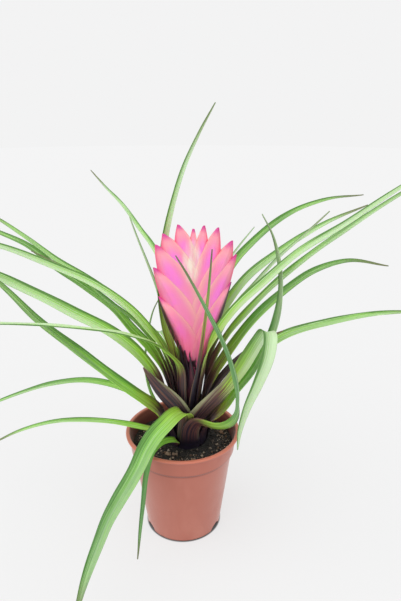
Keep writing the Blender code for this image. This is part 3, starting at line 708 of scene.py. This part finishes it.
def drain_cutter(degrees):
    """A flattened round bar that cuts one arched slot through the foot."""
    place = Matrix.Rotation(math.radians(degrees), 4, "Z")
    place @= Matrix.Translation((FOOT_R, 0.0, -0.2))
    place @= Matrix.Diagonal((1.0, DRAIN_WIDTH / 2, DRAIN_HEIGHT, 1.0))
    place @= Matrix.Rotation(math.pi / 2, 4, "Y")
    shape = bmesh.new()
    bmesh.ops.create_cone(
        shape, cap_ends=True, segments=48, radius1=1.0, radius2=1.0, depth=DRAIN_DEPTH, matrix=place
    )
    bmesh.ops.recalc_face_normals(shape, faces=shape.faces)
    return shape


def make_pot(finish):
    profile = (
        (0.0, FLOOR_TOP),
        (pot_inner_radius(FLOOR_TOP), FLOOR_TOP),
        (pot_inner_radius(BODY_TOP_Z), BODY_TOP_Z + 1.0),
        (COLLAR_BOTTOM_R - WALL, COLLAR_BOTTOM_Z + 1.5),
        (RIM_R - RIM_WIDTH, RIM_Z - 0.5),
        (RIM_R - RIM_WIDTH + 0.5, RIM_Z),
        (RIM_R - 0.5, RIM_Z),
        (RIM_R, RIM_Z - 0.6),
        (RIM_R, RIM_Z - RIM_THICK),
        (RIM_R - 0.5, RIM_Z - RIM_THICK - 0.5),
        (COLLAR_R + 0.5, RIM_Z - RIM_THICK - 0.8),
        (COLLAR_R, RIM_Z - RIM_THICK - 1.6),
        (COLLAR_BOTTOM_R, COLLAR_BOTTOM_Z),
        (COLLAR_BOTTOM_R - 0.5, COLLAR_BOTTOM_Z - 0.6),
        (BODY_TOP_R, BODY_TOP_Z),
        (FOOT_R + 0.3, 1.2),
        (FOOT_R - 0.3, 0.0),
        (0.0, 0.0),
    )
    shape = bmesh.new()
    spin_profile(shape, softened(profile, POT_ROUNDING), POT_STEPS)
    pot = mesh_piece("nursery_pot", shape, finish)
    cutters = [mesh_piece("drain_cutter", drain_cutter(turn), finish) for turn in DRAIN_ANGLES]
    for cutter in cutters:
        cut = pot.modifiers.new("drain", "BOOLEAN")
        cut.operation = "DIFFERENCE"
        cut.solver = "EXACT"
        cut.object = cutter
    apply_modifiers(pot)
    for cutter in cutters:
        bpy.data.objects.remove(cutter, do_unlink=True)
    keep_edges(pot, 35)
    settle(pot, "pot")


# Soil


def soil_height(x, y):
    """Uneven top of the soil, with a low mound round the stem."""
    coarse = noise.noise(Vector((x, y, 3.0)) / LUMP_WIDTH)
    fine = noise.noise(Vector((x, y, 8.0)) / DIMPLE_WIDTH)
    mound = MOUND * ease((MOUND_R - math.hypot(x - STEM_X, y)) / MOUND_SLOPE)
    return SOIL_Z + SOIL_RELIEF * (coarse + 0.6 * fine) + mound


def crumbly(x, y):
    """Height of the crumbs on top of the soil's own relief."""
    spot = Vector((x, y, 0.0))
    lumps = noise.voronoi(spot / CRUMB_WIDTH)[0][0]
    grain = noise.noise(spot / 0.8) * 0.25
    return CRUMB_RELIEF * (0.55 - lumps + grain)


def make_soil(finish):
    low = FLOOR_TOP + SOIL_GAP
    profile = [(SOIL_EDGE * ring / SOIL_RINGS, SOIL_Z) for ring in range(SOIL_RINGS + 1)]
    profile += [
        (SOIL_EDGE, COLLAR_BOTTOM_Z + 2.5),
        (pot_inner_radius(BODY_TOP_Z) - 2 * SOIL_GAP, BODY_TOP_Z),
        (pot_inner_radius(low) - SOIL_GAP, low),
        (0.0, low),
    ]
    shape = bmesh.new()
    mark(shape, "tint")
    spin_profile(shape, profile, SOIL_STEPS)
    for point in shape.verts:
        x, y, z = point.co
        if z > SOIL_Z - 0.5:
            inside = ease((SOIL_EDGE - math.hypot(x, y)) / 1.5)
            point.co.z = soil_height(x, y) + crumbly(x, y) * inside
    settle(mesh_piece("peat_surface", shape, finish), "potting_soil")


def on_soil(reach, angle, lift):
    """A point above the soil, at a distance and angle from the pot's axis."""
    x = reach * math.cos(angle)
    y = reach * math.sin(angle)
    return Vector((x, y, soil_height(x, y) + lift))


def scatter(dice, low, high):
    """A seeded spot on the soil, outside the stem and inside the wall."""
    while True:
        angle = dice.uniform(0, math.tau)
        spot = on_soil(high * math.sqrt(dice.random()), angle, 0.0)
        if math.hypot(spot.x - STEM_X, spot.y) > low:
            return spot


def tumbled(dice, tilt):
    """Any turn about the upright, after a tilt of up to so many radians."""
    turn = Matrix.Rotation(dice.uniform(0, math.tau), 4, "Z")
    return turn @ Matrix.Rotation(dice.uniform(-tilt, tilt), 4, "X")


def set_down(centre, turn, size):
    return Matrix.Translation(centre) @ turn @ Matrix.Diagonal((*size, 1.0))


def chip_places():
    """Places of the bark chips, thickest at the front left."""
    dice = random.Random(7)
    for number in range(CHIP_COUNT):
        angle = math.radians(dice.uniform(*CHIP_SECTOR) if number % 3 else dice.uniform(0, 360))
        centre = on_soil(dice.uniform(*CHIP_REACH), angle, 0.3)
        turn = tumbled(dice, CHIP_TILT)
        yield set_down(centre, turn, [dice.uniform(*span) for span in CHIP_SIZES])


def make_chips(finish):
    """Flat splinters of bark with broken edges."""
    dice = random.Random(12)
    shape = bmesh.new()
    marks = mark(shape, "tint")
    for place in chip_places():
        tint = dice.uniform(*CHIP_TINTS)
        for point in bmesh.ops.create_cube(shape, size=1.0, matrix=place)["verts"]:
            point[marks["tint"]] = tint
    bmesh.ops.subdivide_edges(shape, edges=shape.edges, cuts=4, use_grid_fill=True)
    noise.seed_set(12)  # noise_vector differs from run to run without a seed
    for point in shape.verts:
        point.co += noise.noise_vector(point.co / 1.4) * CHIP_ROUGHNESS
    chips = mesh_piece("bark_chips", shape, finish)
    keep_edges(chips, 50)
    settle(chips, "potting_soil")


def make_crumbs(finish):
    """Loose irregular crumbs of peat and bark, half sunk into the soil."""
    dice = random.Random(31)
    shape = bmesh.new()
    marks = mark(shape, "tint")
    for _ in range(CRUMB_COUNT):
        centre = scatter(dice, STEM_R + 1.5, SOIL_EDGE - 1.2)
        grain = dice.triangular(*CRUMB_SIZES)
        centre.z += 0.35 * grain
        size = (grain * dice.uniform(0.8, 1.5), grain, grain * dice.uniform(0.6, 1.0))
        place = set_down(centre, tumbled(dice, CRUMB_TILT), size)
        tint = dice.choice(CRUMB_TINTS)
        crumb = bmesh.ops.create_icosphere(shape, subdivisions=1, radius=0.5, matrix=place)
        for point in crumb["verts"]:
            point.co += (point.co - centre) * 0.45 * noise.noise(point.co / 1.7)
            point[marks["tint"]] = tint
    bmesh.ops.recalc_face_normals(shape, faces=shape.faces)
    settle(mesh_piece("peat_crumbs", shape, finish), "potting_soil")


def fibre_path(start, heading, length):
    """Stations of one fine root that wanders over the soil, and their frames."""
    knots = [start]
    for step in range(1, 4):
        heading += noise.noise(start / 3.0 + Vector((step, 0, 0))) * FIBRE_WANDER
        spot = knots[-1] + outward(math.degrees(heading)) * (length / 3)
        spot.z = soil_height(spot.x, spot.y) + 0.9 + 0.8 * noise.noise(spot / 2.0)
        knots.append(spot)
    stations, _ = even_stations(smooth_path(knots), FIBRE_STEPS)
    return stations, ribbon_frames(stations, Vector((0.0, 0.0, 1.0)))


def make_fibres(finish):
    """Fine roots: thin five-sided threads, all shaped from upright rods."""
    dice = random.Random(5)
    shape = bmesh.new()
    marks = mark(shape, "tint", "number")
    paths = []
    for number in range(FIBRE_COUNT):
        start = scatter(dice, STEM_R + 2.0, SOIL_EDGE - 5.0)
        start.z += 0.2
        paths.append(fibre_path(start, dice.uniform(0, math.tau), dice.uniform(*FIBRE_LENGTHS)))
        tint = dice.uniform(*FIBRE_TINTS)
        for point in add_rod(shape, 5):
            point[marks["tint"]] = tint
            point[marks["number"]] = number
    slice_rods(shape, FIBRE_STEPS)
    for point in shape.verts:
        stations, frames = paths[round(point[marks["number"]])]
        row = round((point.co.z + 0.5) * FIBRE_STEPS)
        side, normal = frames[row]
        thick = FIBRE_R * (1.15 - row / FIBRE_STEPS)
        point.co = stations[row] + (side * point.co.x + normal * point.co.y) * thick
    bmesh.ops.recalc_face_normals(shape, faces=shape.faces)
    settle(mesh_piece("fine_roots", shape, finish), "potting_soil")


# Finishes


class Wiring:
    """Short calls that add nodes to one material or group."""

    def __init__(self, tree):
        self.tree = tree

    def node(self, kind, values=None, **settings):
        made = self.tree.nodes.new(kind)
        for key, value in settings.items():
            setattr(made, key, value)
        for key, value in (values or {}).items():
            self.feed(made.inputs[key], value)
        return made

    def feed(self, socket, value):
        if isinstance(value, bpy.types.NodeSocket):
            self.tree.links.new(value, socket)
        elif socket.type == "RGBA" and len(value) == 3:
            socket.default_value = (*value, 1.0)
        else:
            socket.default_value = value

    def marks(self, *names):
        """The marks that a piece's points carry."""
        return [
            self.node("ShaderNodeAttribute", attribute_name=name).outputs["Fac"] for name in names
        ]

    def place(self):
        return self.node("ShaderNodeTexCoord").outputs["Object"]

    def place_in_mm(self):
        """The three coordinates of a point, in millimetres."""
        place = self.node("ShaderNodeSeparateXYZ", {"Vector": self.place()})
        return [self.times(coordinate, 1 / MM) for coordinate in place.outputs]

    def maths(self, operation, *values):
        made = self.node("ShaderNodeMath", operation=operation)
        for socket, value in zip(made.inputs, values):
            self.feed(socket, value)
        return made.outputs[0]

    def chain(self, operation, first, *others):
        """One operation over several values, from the left."""
        for value in others:
            first = self.maths(operation, first, value)
        return first

    def times(self, *values):
        return self.chain("MULTIPLY", *values)

    def plus(self, *values):
        return self.chain("ADD", *values)

    def minus(self, *values):
        return self.chain("SUBTRACT", *values)

    def span(self, value, low, high, first=0.0, last=1.0):
        """Maps a value smoothly from low..high to first..last, held at both ends."""
        made = self.node(
            "ShaderNodeMapRange",
            {"Value": value, "From Min": low, "From Max": high, "To Min": first, "To Max": last},
            interpolation_type="SMOOTHSTEP",
        )
        return made.outputs["Result"]

    def blend(self, share, first, second):
        made = self.node("ShaderNodeMix", data_type="RGBA", blend_type="MIX", clamp_factor=True)
        for number, value in ((0, share), (6, first), (7, second)):
            self.feed(made.inputs[number], value)
        return made.outputs[2]

    def layered(self, colour, *coats):
        """Lays one colour after another over the first, each through its mask."""
        for mask, coat in coats:
            colour = self.blend(mask, colour, coat)
        return colour

    def vector(self, x, y, z):
        return self.node("ShaderNodeCombineXYZ", {"X": x, "Y": y, "Z": z}).outputs[0]

    def noise(self, vector, scale, detail=2.0, roughness=0.5):
        values = {"Vector": vector, "Scale": scale, "Detail": detail, "Roughness": roughness}
        return self.node("ShaderNodeTexNoise", values).outputs["Fac"]

    def placed(self, group, **values):
        """What a shared group puts out here, with this material's own values."""
        return self.node("ShaderNodeGroup", values, node_tree=group).outputs[0]


def shared_group(name, output, **inputs):
    """A new node group: the group, its wiring, its inputs and its one output."""
    group = bpy.data.node_groups.new(name, "ShaderNodeTree")
    for key, value in inputs.items():
        socket = group.interface.new_socket(key, in_out="INPUT", socket_type="NodeSocketFloat")
        socket.default_value = value
    group.interface.new_socket(output, in_out="OUTPUT", socket_type="NodeSocketFloat")
    wires = Wiring(group)
    given = wires.node("NodeGroupInput").outputs
    return group, wires, given, wires.node("NodeGroupOutput").inputs[0]


def streak_group():
    """Streaks that run upright: noise that is drawn out along Z."""
    group, wires, given, result = shared_group(
        "upright_streaks", "Streaks", Squeeze=0.2, Scale=400.0, Detail=2.0
    )
    squeeze = wires.vector(1.0, 1.0, given["Squeeze"])
    spot = wires.node("ShaderNodeMapping", {"Vector": wires.place(), "Scale": squeeze}).outputs[0]
    wires.feed(result, wires.noise(spot, given["Scale"], given["Detail"]))
    return group


def distance_group():
    """Distance in millimetres from an upright line that stands on the X axis."""
    group, wires, given, result = shared_group("upright_distance", "Distance", Aside=0.0)
    x, y, _ = wires.place_in_mm()
    across = wires.maths("POWER", wires.minus(x, given["Aside"]), 2.0)
    wires.feed(result, wires.maths("SQRT", wires.plus(across, wires.maths("POWER", y, 2.0))))
    return group


def new_finish(name, values):
    """A new material: its wiring and its shader, with plain values set on it."""
    made = bpy.data.materials.new(name)
    made.use_nodes = True
    wires = Wiring(made.node_tree)
    shader = made.node_tree.nodes["Principled BSDF"]
    for key, value in values.items():
        wires.feed(shader.inputs[key], value)
    return made, wires, shader


def surface(wires, shader, colour, roughness, height, depth):
    """Feeds the shader's colour and roughness, and a relief of a depth in millimetres."""
    bump = wires.node("ShaderNodeBump", {"Height": height, "Distance": depth * MM, "Strength": 1.0})
    wires.feed(shader.inputs["Base Color"], colour)
    wires.feed(shader.inputs["Roughness"], roughness)
    wires.feed(shader.inputs["Normal"], bump.outputs["Normal"])


def leaf_finish():
    made, wires, shader = new_finish("leaf_blade", {
        "Subsurface Weight": 0.12,
        "Subsurface Radius": (0.5, 1.0, 0.2),
        "Subsurface Scale": 1.5 * MM,
    })
    times, plus, minus, span = wires.times, wires.plus, wires.minus, wires.span
    across, width, along, share = wires.marks("across", "breadth", "along", "share")
    tone, blueness, reach, olive, pale, fade = wires.marks(*LOOKS)

    def drawn_out(crossing, fast, slow, varied, *look):
        """Noise that is fast across the blade, slow along it and its own on each leaf."""
        spot = wires.vector(times(crossing, fast), times(along, slow), times(tone, varied))
        return wires.noise(spot, *look)

    streaks = drawn_out(width, 0.9, 0.02, 9.0, 1.0, 3.0)
    fine = drawn_out(width, 2.4, 0.012, 5.0, 1.0, 2.0)
    patches = drawn_out(across, 1.0, 0.035, 1.0, 0.8, 2.0)
    lines = drawn_out(width, 1.5, 0.012, 1.0, 1.0, 2.0, 0.6)
    veins = wires.maths("SINE", times(width, 7.5))

    # Green of the blade: fresh low down, with a painted highlight on its lower side further out
    light = plus(
        tone,
        span(streaks, 0.3, 0.7, -0.35, 0.35),
        span(fine, 0.3, 0.7, -0.2, 0.2),
        span(patches, 0.35, 0.65, -0.15, 0.15),
        span(share, 0.50, 0.15, 0.0, 0.25),
    )
    cool = times(blueness, span(share, 0.2, 0.45, 0.15, 0.75))
    side = plus(across, span(streaks, 0.25, 0.75, -0.35, 0.35))
    # Painted highlights: pale on the lower side of the blade, along the midrib and in fine glints
    highlight_side = times(
        span(side, 0.15, -0.45),
        span(share, 0.15, 0.5, 0.15, 0.85),
        span(tone, 0.2, 0.7, 0.2, 0.9),
        span(fade, 0.0, 0.5, 0.4, 1.0),
    )
    midrib = span(wires.maths("ABSOLUTE", across), 0.03, 0.16, 1.0, 0.0)
    fold = times(midrib, span(streaks, 0.35, 0.65, 0.05, 0.35))
    glint = times(span(fine, 0.56, 0.68), span(tone, 0.2, 0.8, 0.2, 0.7))
    haze = times(fade, span(share, 0.35, 0.75), span(side, 0.8, 0.0, 0.3, 0.8))
    tip = times(span(share, 0.80, 0.98, 0.0, 0.9), span(fade, 0.4, 0.9, 1.0, 0.1))

    # Purple sheath that breaks up into lines, olive above it, paler upper margin
    rise = wires.maths("DIVIDE", along, reach)
    ragged = times(span(lines, 0.42, 0.72), plus(0.2, times(olive, 0.5)))
    sheath = minus(rise, ragged, times(across, 0.08))
    maroon = times(
        wires.maths("MAXIMUM", span(plus(rise, streaks), 1.05, 1.6), span(fine, 0.47, 0.63)),
        span(rise, 0.15, 0.6, 0.0, 0.9),
    )
    margin = times(
        span(plus(across, span(streaks, 0.3, 0.7, -0.2, 0.2)), 0.45, 0.95),
        span(rise, 0.2, 0.42),
        span(rise, 1.05, 1.6, 1.0, 0.0),
        pale,
    )
    colour = wires.layered(
        wires.blend(light, LEAF_DARK, LEAF_LIGHT),
        (span(share, 0.20, 0.75, 0.95, 0.2), wires.blend(light, LEAF_GRASS, LEAF_FRESH)),
        (cool, LEAF_BLUE),
        # painted highlights on the lower side, along the midrib and in glints
        (highlight_side, LEAF_HIGHLIGHT),
        (fold, LEAF_HIGHLIGHT),
        (glint, LEAF_HIGHLIGHT),
        (haze, LEAF_HAZE),
        # painted shade: a dark strip along the upper margin, where the far half of the channel lies
        # in shade
        (span(side, 0.45, 0.85, 0.0, 0.85), LEAF_DARK),
        (span(veins, -1.0, 1.0, 0.0, 0.14), LEAF_DARK),
        (tip, LEAF_TIP),
        (times(span(rise, 0.8, 2.0, 1.0, 0.0), olive), SHEATH_OLIVE),
        (span(sheath, 0.8, 1.05, 1.0, 0.0), wires.blend(maroon, SHEATH_PURPLE, SHEATH_MAROON)),
        (margin, SHEATH_MARGIN),
    )
    height = plus(times(veins, 0.5), times(streaks, 1.2))
    surface(wires, shader, colour, span(streaks, 0.2, 0.8, 0.32, 0.50), height, 0.05)
    return made


def bract_finish(streak):
    made, wires, shader = new_finish("pink_bract", {
        "Subsurface Weight": 0.25,
        "Subsurface Radius": (1.0, 0.35, 0.45),
        "Subsurface Scale": 2.0 * MM,
    })
    times, plus, minus, span = wires.times, wires.plus, wires.minus, wires.span
    across, share, number, keeled = wires.marks("across", "share", "number", "keel")
    x, _, z = wires.place_in_mm()
    streaks = wires.placed(streak, Squeeze=0.2, Scale=420.0)
    # Violet blush in the middle of the bract, peach towards its margins
    blush = times(
        span(across, 0.12, 0.42),
        span(across, 0.80, 0.50),
        span(share, 0.35, 0.60),
        span(share, 0.96, 0.78),
        span(wires.noise(wires.place(), 70.0), 0.35, 0.62, 0.1, 0.85),
    )
    edge = span(across, 0.68, 0.97, 0.0, 0.85)
    peach = wires.maths("MAXIMUM", edge, span(share, 0.7, 0.9, 0.0, 0.6))
    # Painted cream highlight high in the middle of the spike
    aside, above = (
        wires.maths("POWER", wires.maths("DIVIDE", minus(value, middle), size), 2.0)
        for value, middle, size in ((x, 8.2, 6.0), (z, 224.0, 14.0))
    )
    cream_highlight = times(span(plus(aside, above), 0.0, 1.8, 1.0, 0.0), span(streaks, 0.35, 0.65, 0.3, 0.85))
    # Deeper rose towards the foot of the spike, which ends in dark streaks
    keel = times(keeled, span(across, 0.34, 0.14))
    reddish = times(span(streaks, 0.48, 0.66), span(z, 185.0, 150.0), 0.7)
    low = minus(plus(z, times(minus(x, 10.5), 0.9)), span(streaks, 0.45, 0.72, 0.0, 22.0))
    colour = wires.layered(
        BRACT_PINK,
        (blush, BRACT_VIOLET),
        (peach, BRACT_PEACH),
        (span(z, 200.0, 145.0, 0.0, 0.75), BRACT_ROSE),
        (cream_highlight, BRACT_HIGHLIGHT),
        (span(share, 0.89, 0.99, 0.0, 0.95), BRACT_TIP),
        (span(across, 0.26, 0.0, 0.0, 0.85), BRACT_ROSE),
        (keel, BRACT_KEEL),
        (reddish, BRACT_ROSE),
        (span(low, 140.0, 129.0), BRACT_KEEL),
    )
    ribs = wires.maths("SINE", times(across, 62.0))
    height = plus(times(ribs, 0.5), wires.placed(streak, Squeeze=0.25, Scale=900.0))
    surface(wires, shader, colour, span(number, 0.0, 10.0, 0.46, 0.38), height, 0.06)
    return made


def stem_finish(streak):
    made, wires, shader = new_finish("purple_stem", {})
    streaks = wires.placed(streak, Squeeze=0.08, Scale=420.0, Detail=3.0)
    colour = wires.blend(wires.span(streaks, 0.45, 0.72, 0.0, 0.8), STEM_DARK, STEM_WINE)
    surface(wires, shader, colour, wires.span(streaks, 0.3, 0.7, 0.38, 0.55), streaks, 0.15)
    return made


def plastic_finish(streak, distance):
    made, wires, shader = new_finish(
        "terracotta_plastic", {"Sheen Weight": 0.34, "Sheen Roughness": 0.35}
    )
    times, span = wires.times, wires.span
    z = wires.place_in_mm()[2]
    reach = wires.placed(distance)
    clouds = wires.noise(wires.place(), 28.0, 3.0)
    specks = wires.noise(wires.place(), 2600.0)
    flow = wires.placed(streak, Squeeze=0.3, Scale=90.0)
    dusty = times(span(z, 30.0, 2.0), span(flow, 0.3, 0.7, 0.0, 0.1))
    # Painted highlight on the lip; painted shade under it, at the collar's step and at the foot
    lip = RIM_Z - RIM_THICK
    lip_shade = times(span(z, lip - 2.9, lip - 0.6), span(z, lip + 0.2, lip - 0.4), 0.30)
    step = COLLAR_BOTTOM_Z
    step_shade = times(span(z, step - 3.7, step - 1.5), span(z, step + 0.8, step + 0.1), 0.55)
    # Painted shade, dark red, on the inside wall, deeper towards the soil, and on the edges in the
    # drain slots
    lean = wires.minus(reach, times(z, 0.17))
    inside = times(span(lean, 27.85, 27.62), span(z, 70.8, 71.6), span(z, 86.2, 77.0, 0.20, 0.85))
    slots = times(span(reach, 29.4, 29.0), span(z, DRAIN_HEIGHT + 0.8, DRAIN_HEIGHT))
    colour = wires.layered(
        PLASTIC,
        (span(clouds, 0.3, 0.7, 0.0, 0.30), PLASTIC_DEEP),
        (span(flow, 0.45, 0.75, 0.0, 0.12), PLASTIC_PALE),
        (dusty, PLASTIC_PALE),
        (span(specks, 0.60, 0.72, 0.0, 0.25), PLASTIC_DEEP),
        (span(z, lip - 0.1, lip + 0.6, 0.0, 0.6), PLASTIC_LIP_HIGHLIGHT),
        (lip_shade, PLASTIC_SHADE),
        (step_shade, PLASTIC_SHADE),
        (wires.maths("MAXIMUM", inside, slots), PLASTIC_SHADE),
        # painted shade at the foot
        (span(z, 1.4, 0.4, 0.0, 0.8), PLASTIC_SHADE),
    )
    rings = wires.maths("SINE", times(z, 9.0))
    height = wires.plus(times(rings, 0.25), specks)
    surface(wires, shader, colour, span(clouds, 0.3, 0.7, 0.34, 0.48), height, 0.02)
    return made


def peat_finish(distance):
    made, wires, shader = new_finish("damp_peat", {})
    span = wires.span
    tint = wires.marks("tint")[0]
    crumbs = wires.noise(wires.place(), 700.0, 3.0, 0.7)
    colour = wires.layered(
        PEAT_BLACK,
        (span(crumbs, 0.42, 0.68), PEAT_BROWN),
        (span(tint, 0.15, 0.7), BARK_RUST),
        (span(tint, 0.6, 1.0), PEAT_GREY),
        (span(wires.noise(wires.place(), 1500.0), 0.63, 0.71, 0.0, 0.7), PEAT_GREY),
        # painted shade: darker towards the stem, under the rosette
        (span(wires.placed(distance, Aside=STEM_X), 30.0, 19.0, 0.0, 0.85), PEAT_BLACK),
    )
    surface(wires, shader, colour, span(crumbs, 0.3, 0.7, 0.7, 0.95), crumbs, 0.5)
    return made


# Studio


def make_floor(distance):
    """Pale floor that glows softly, but not under the pot's foot, where the missing glow is a
    painted shadow.
    """
    ground, wires, shader = new_finish("pale_floor", {
        "Base Color": FLOOR_GREY,
        "Roughness": 0.9,
        "Specular IOR Level": 0.0,
        "Emission Strength": FLOOR_GLOW,
    })
    # No glow under the pot's foot: a painted shadow there
    away = wires.span(wires.placed(distance), FOOT_R, FOOT_R + 1.4)
    wires.feed(shader.inputs["Emission Color"], wires.blend(away, (0.0, 0.0, 0.0), STUDIO_WHITE))
    shape = bmesh.new()
    bmesh.ops.create_circle(shape, cap_ends=True, segments=96, radius=FLOOR_R)
    mesh_piece("floor", shape, ground)


def make_surround():
    """Pale surround, a little brighter to the camera than as a light."""
    world = bpy.data.worlds.new("surround")
    bpy.context.scene.world = world
    world.use_nodes = True
    wires = Wiring(world.node_tree)
    shade = world.node_tree.nodes["Background"]
    seen = wires.node("ShaderNodeLightPath").outputs["Is Camera Ray"]
    wires.feed(shade.inputs["Color"], STUDIO_WHITE)
    wires.feed(shade.inputs["Strength"], wires.span(seen, 0.0, 1.0, SURROUND_LIGHT, 1.0))


def add_sun(name, strength, spread, heading):
    lamp = bpy.data.lights.new(name, "SUN")
    lamp.energy = strength
    lamp.angle = math.radians(spread)
    holder = bpy.data.objects.new(name, lamp)
    holder.rotation_euler = Vector(heading).to_track_quat("-Z", "Y").to_euler()
    bpy.context.scene.collection.objects.link(holder)


def make_camera():
    """Camera fitted to the pot's lip, collar and foot in the photograph."""
    lens = bpy.data.cameras.new("camera")
    lens.sensor_width = 36.0
    lens.lens = CAMERA_LENS
    lens.clip_start = 0.01
    camera = bpy.data.objects.new("camera", lens)
    camera.location = Vector(CAMERA_PLACE) * MM
    camera.rotation_euler = (math.radians(CAMERA_TILT), 0.0, 0.0)
    bpy.context.scene.collection.objects.link(camera)
    bpy.context.scene.camera = camera


def main():
    bpy.context.scene.view_settings.view_transform = "Standard"
    streak = streak_group()
    distance = distance_group()
    make_pot(plastic_finish(streak, distance))
    peat = peat_finish(distance)
    for make in (make_soil, make_chips, make_crumbs, make_fibres):
        make(peat)
    make_stem(stem_finish(streak))
    make_quill(bract_finish(streak))
    leaf_green = leaf_finish()
    for leaf in LEAVES:
        make_leaf(leaf_green, *leaf)
    make_floor(distance)
    make_surround()
    for sun in SUNS:
        add_sun(*sun)
    make_camera()


main()
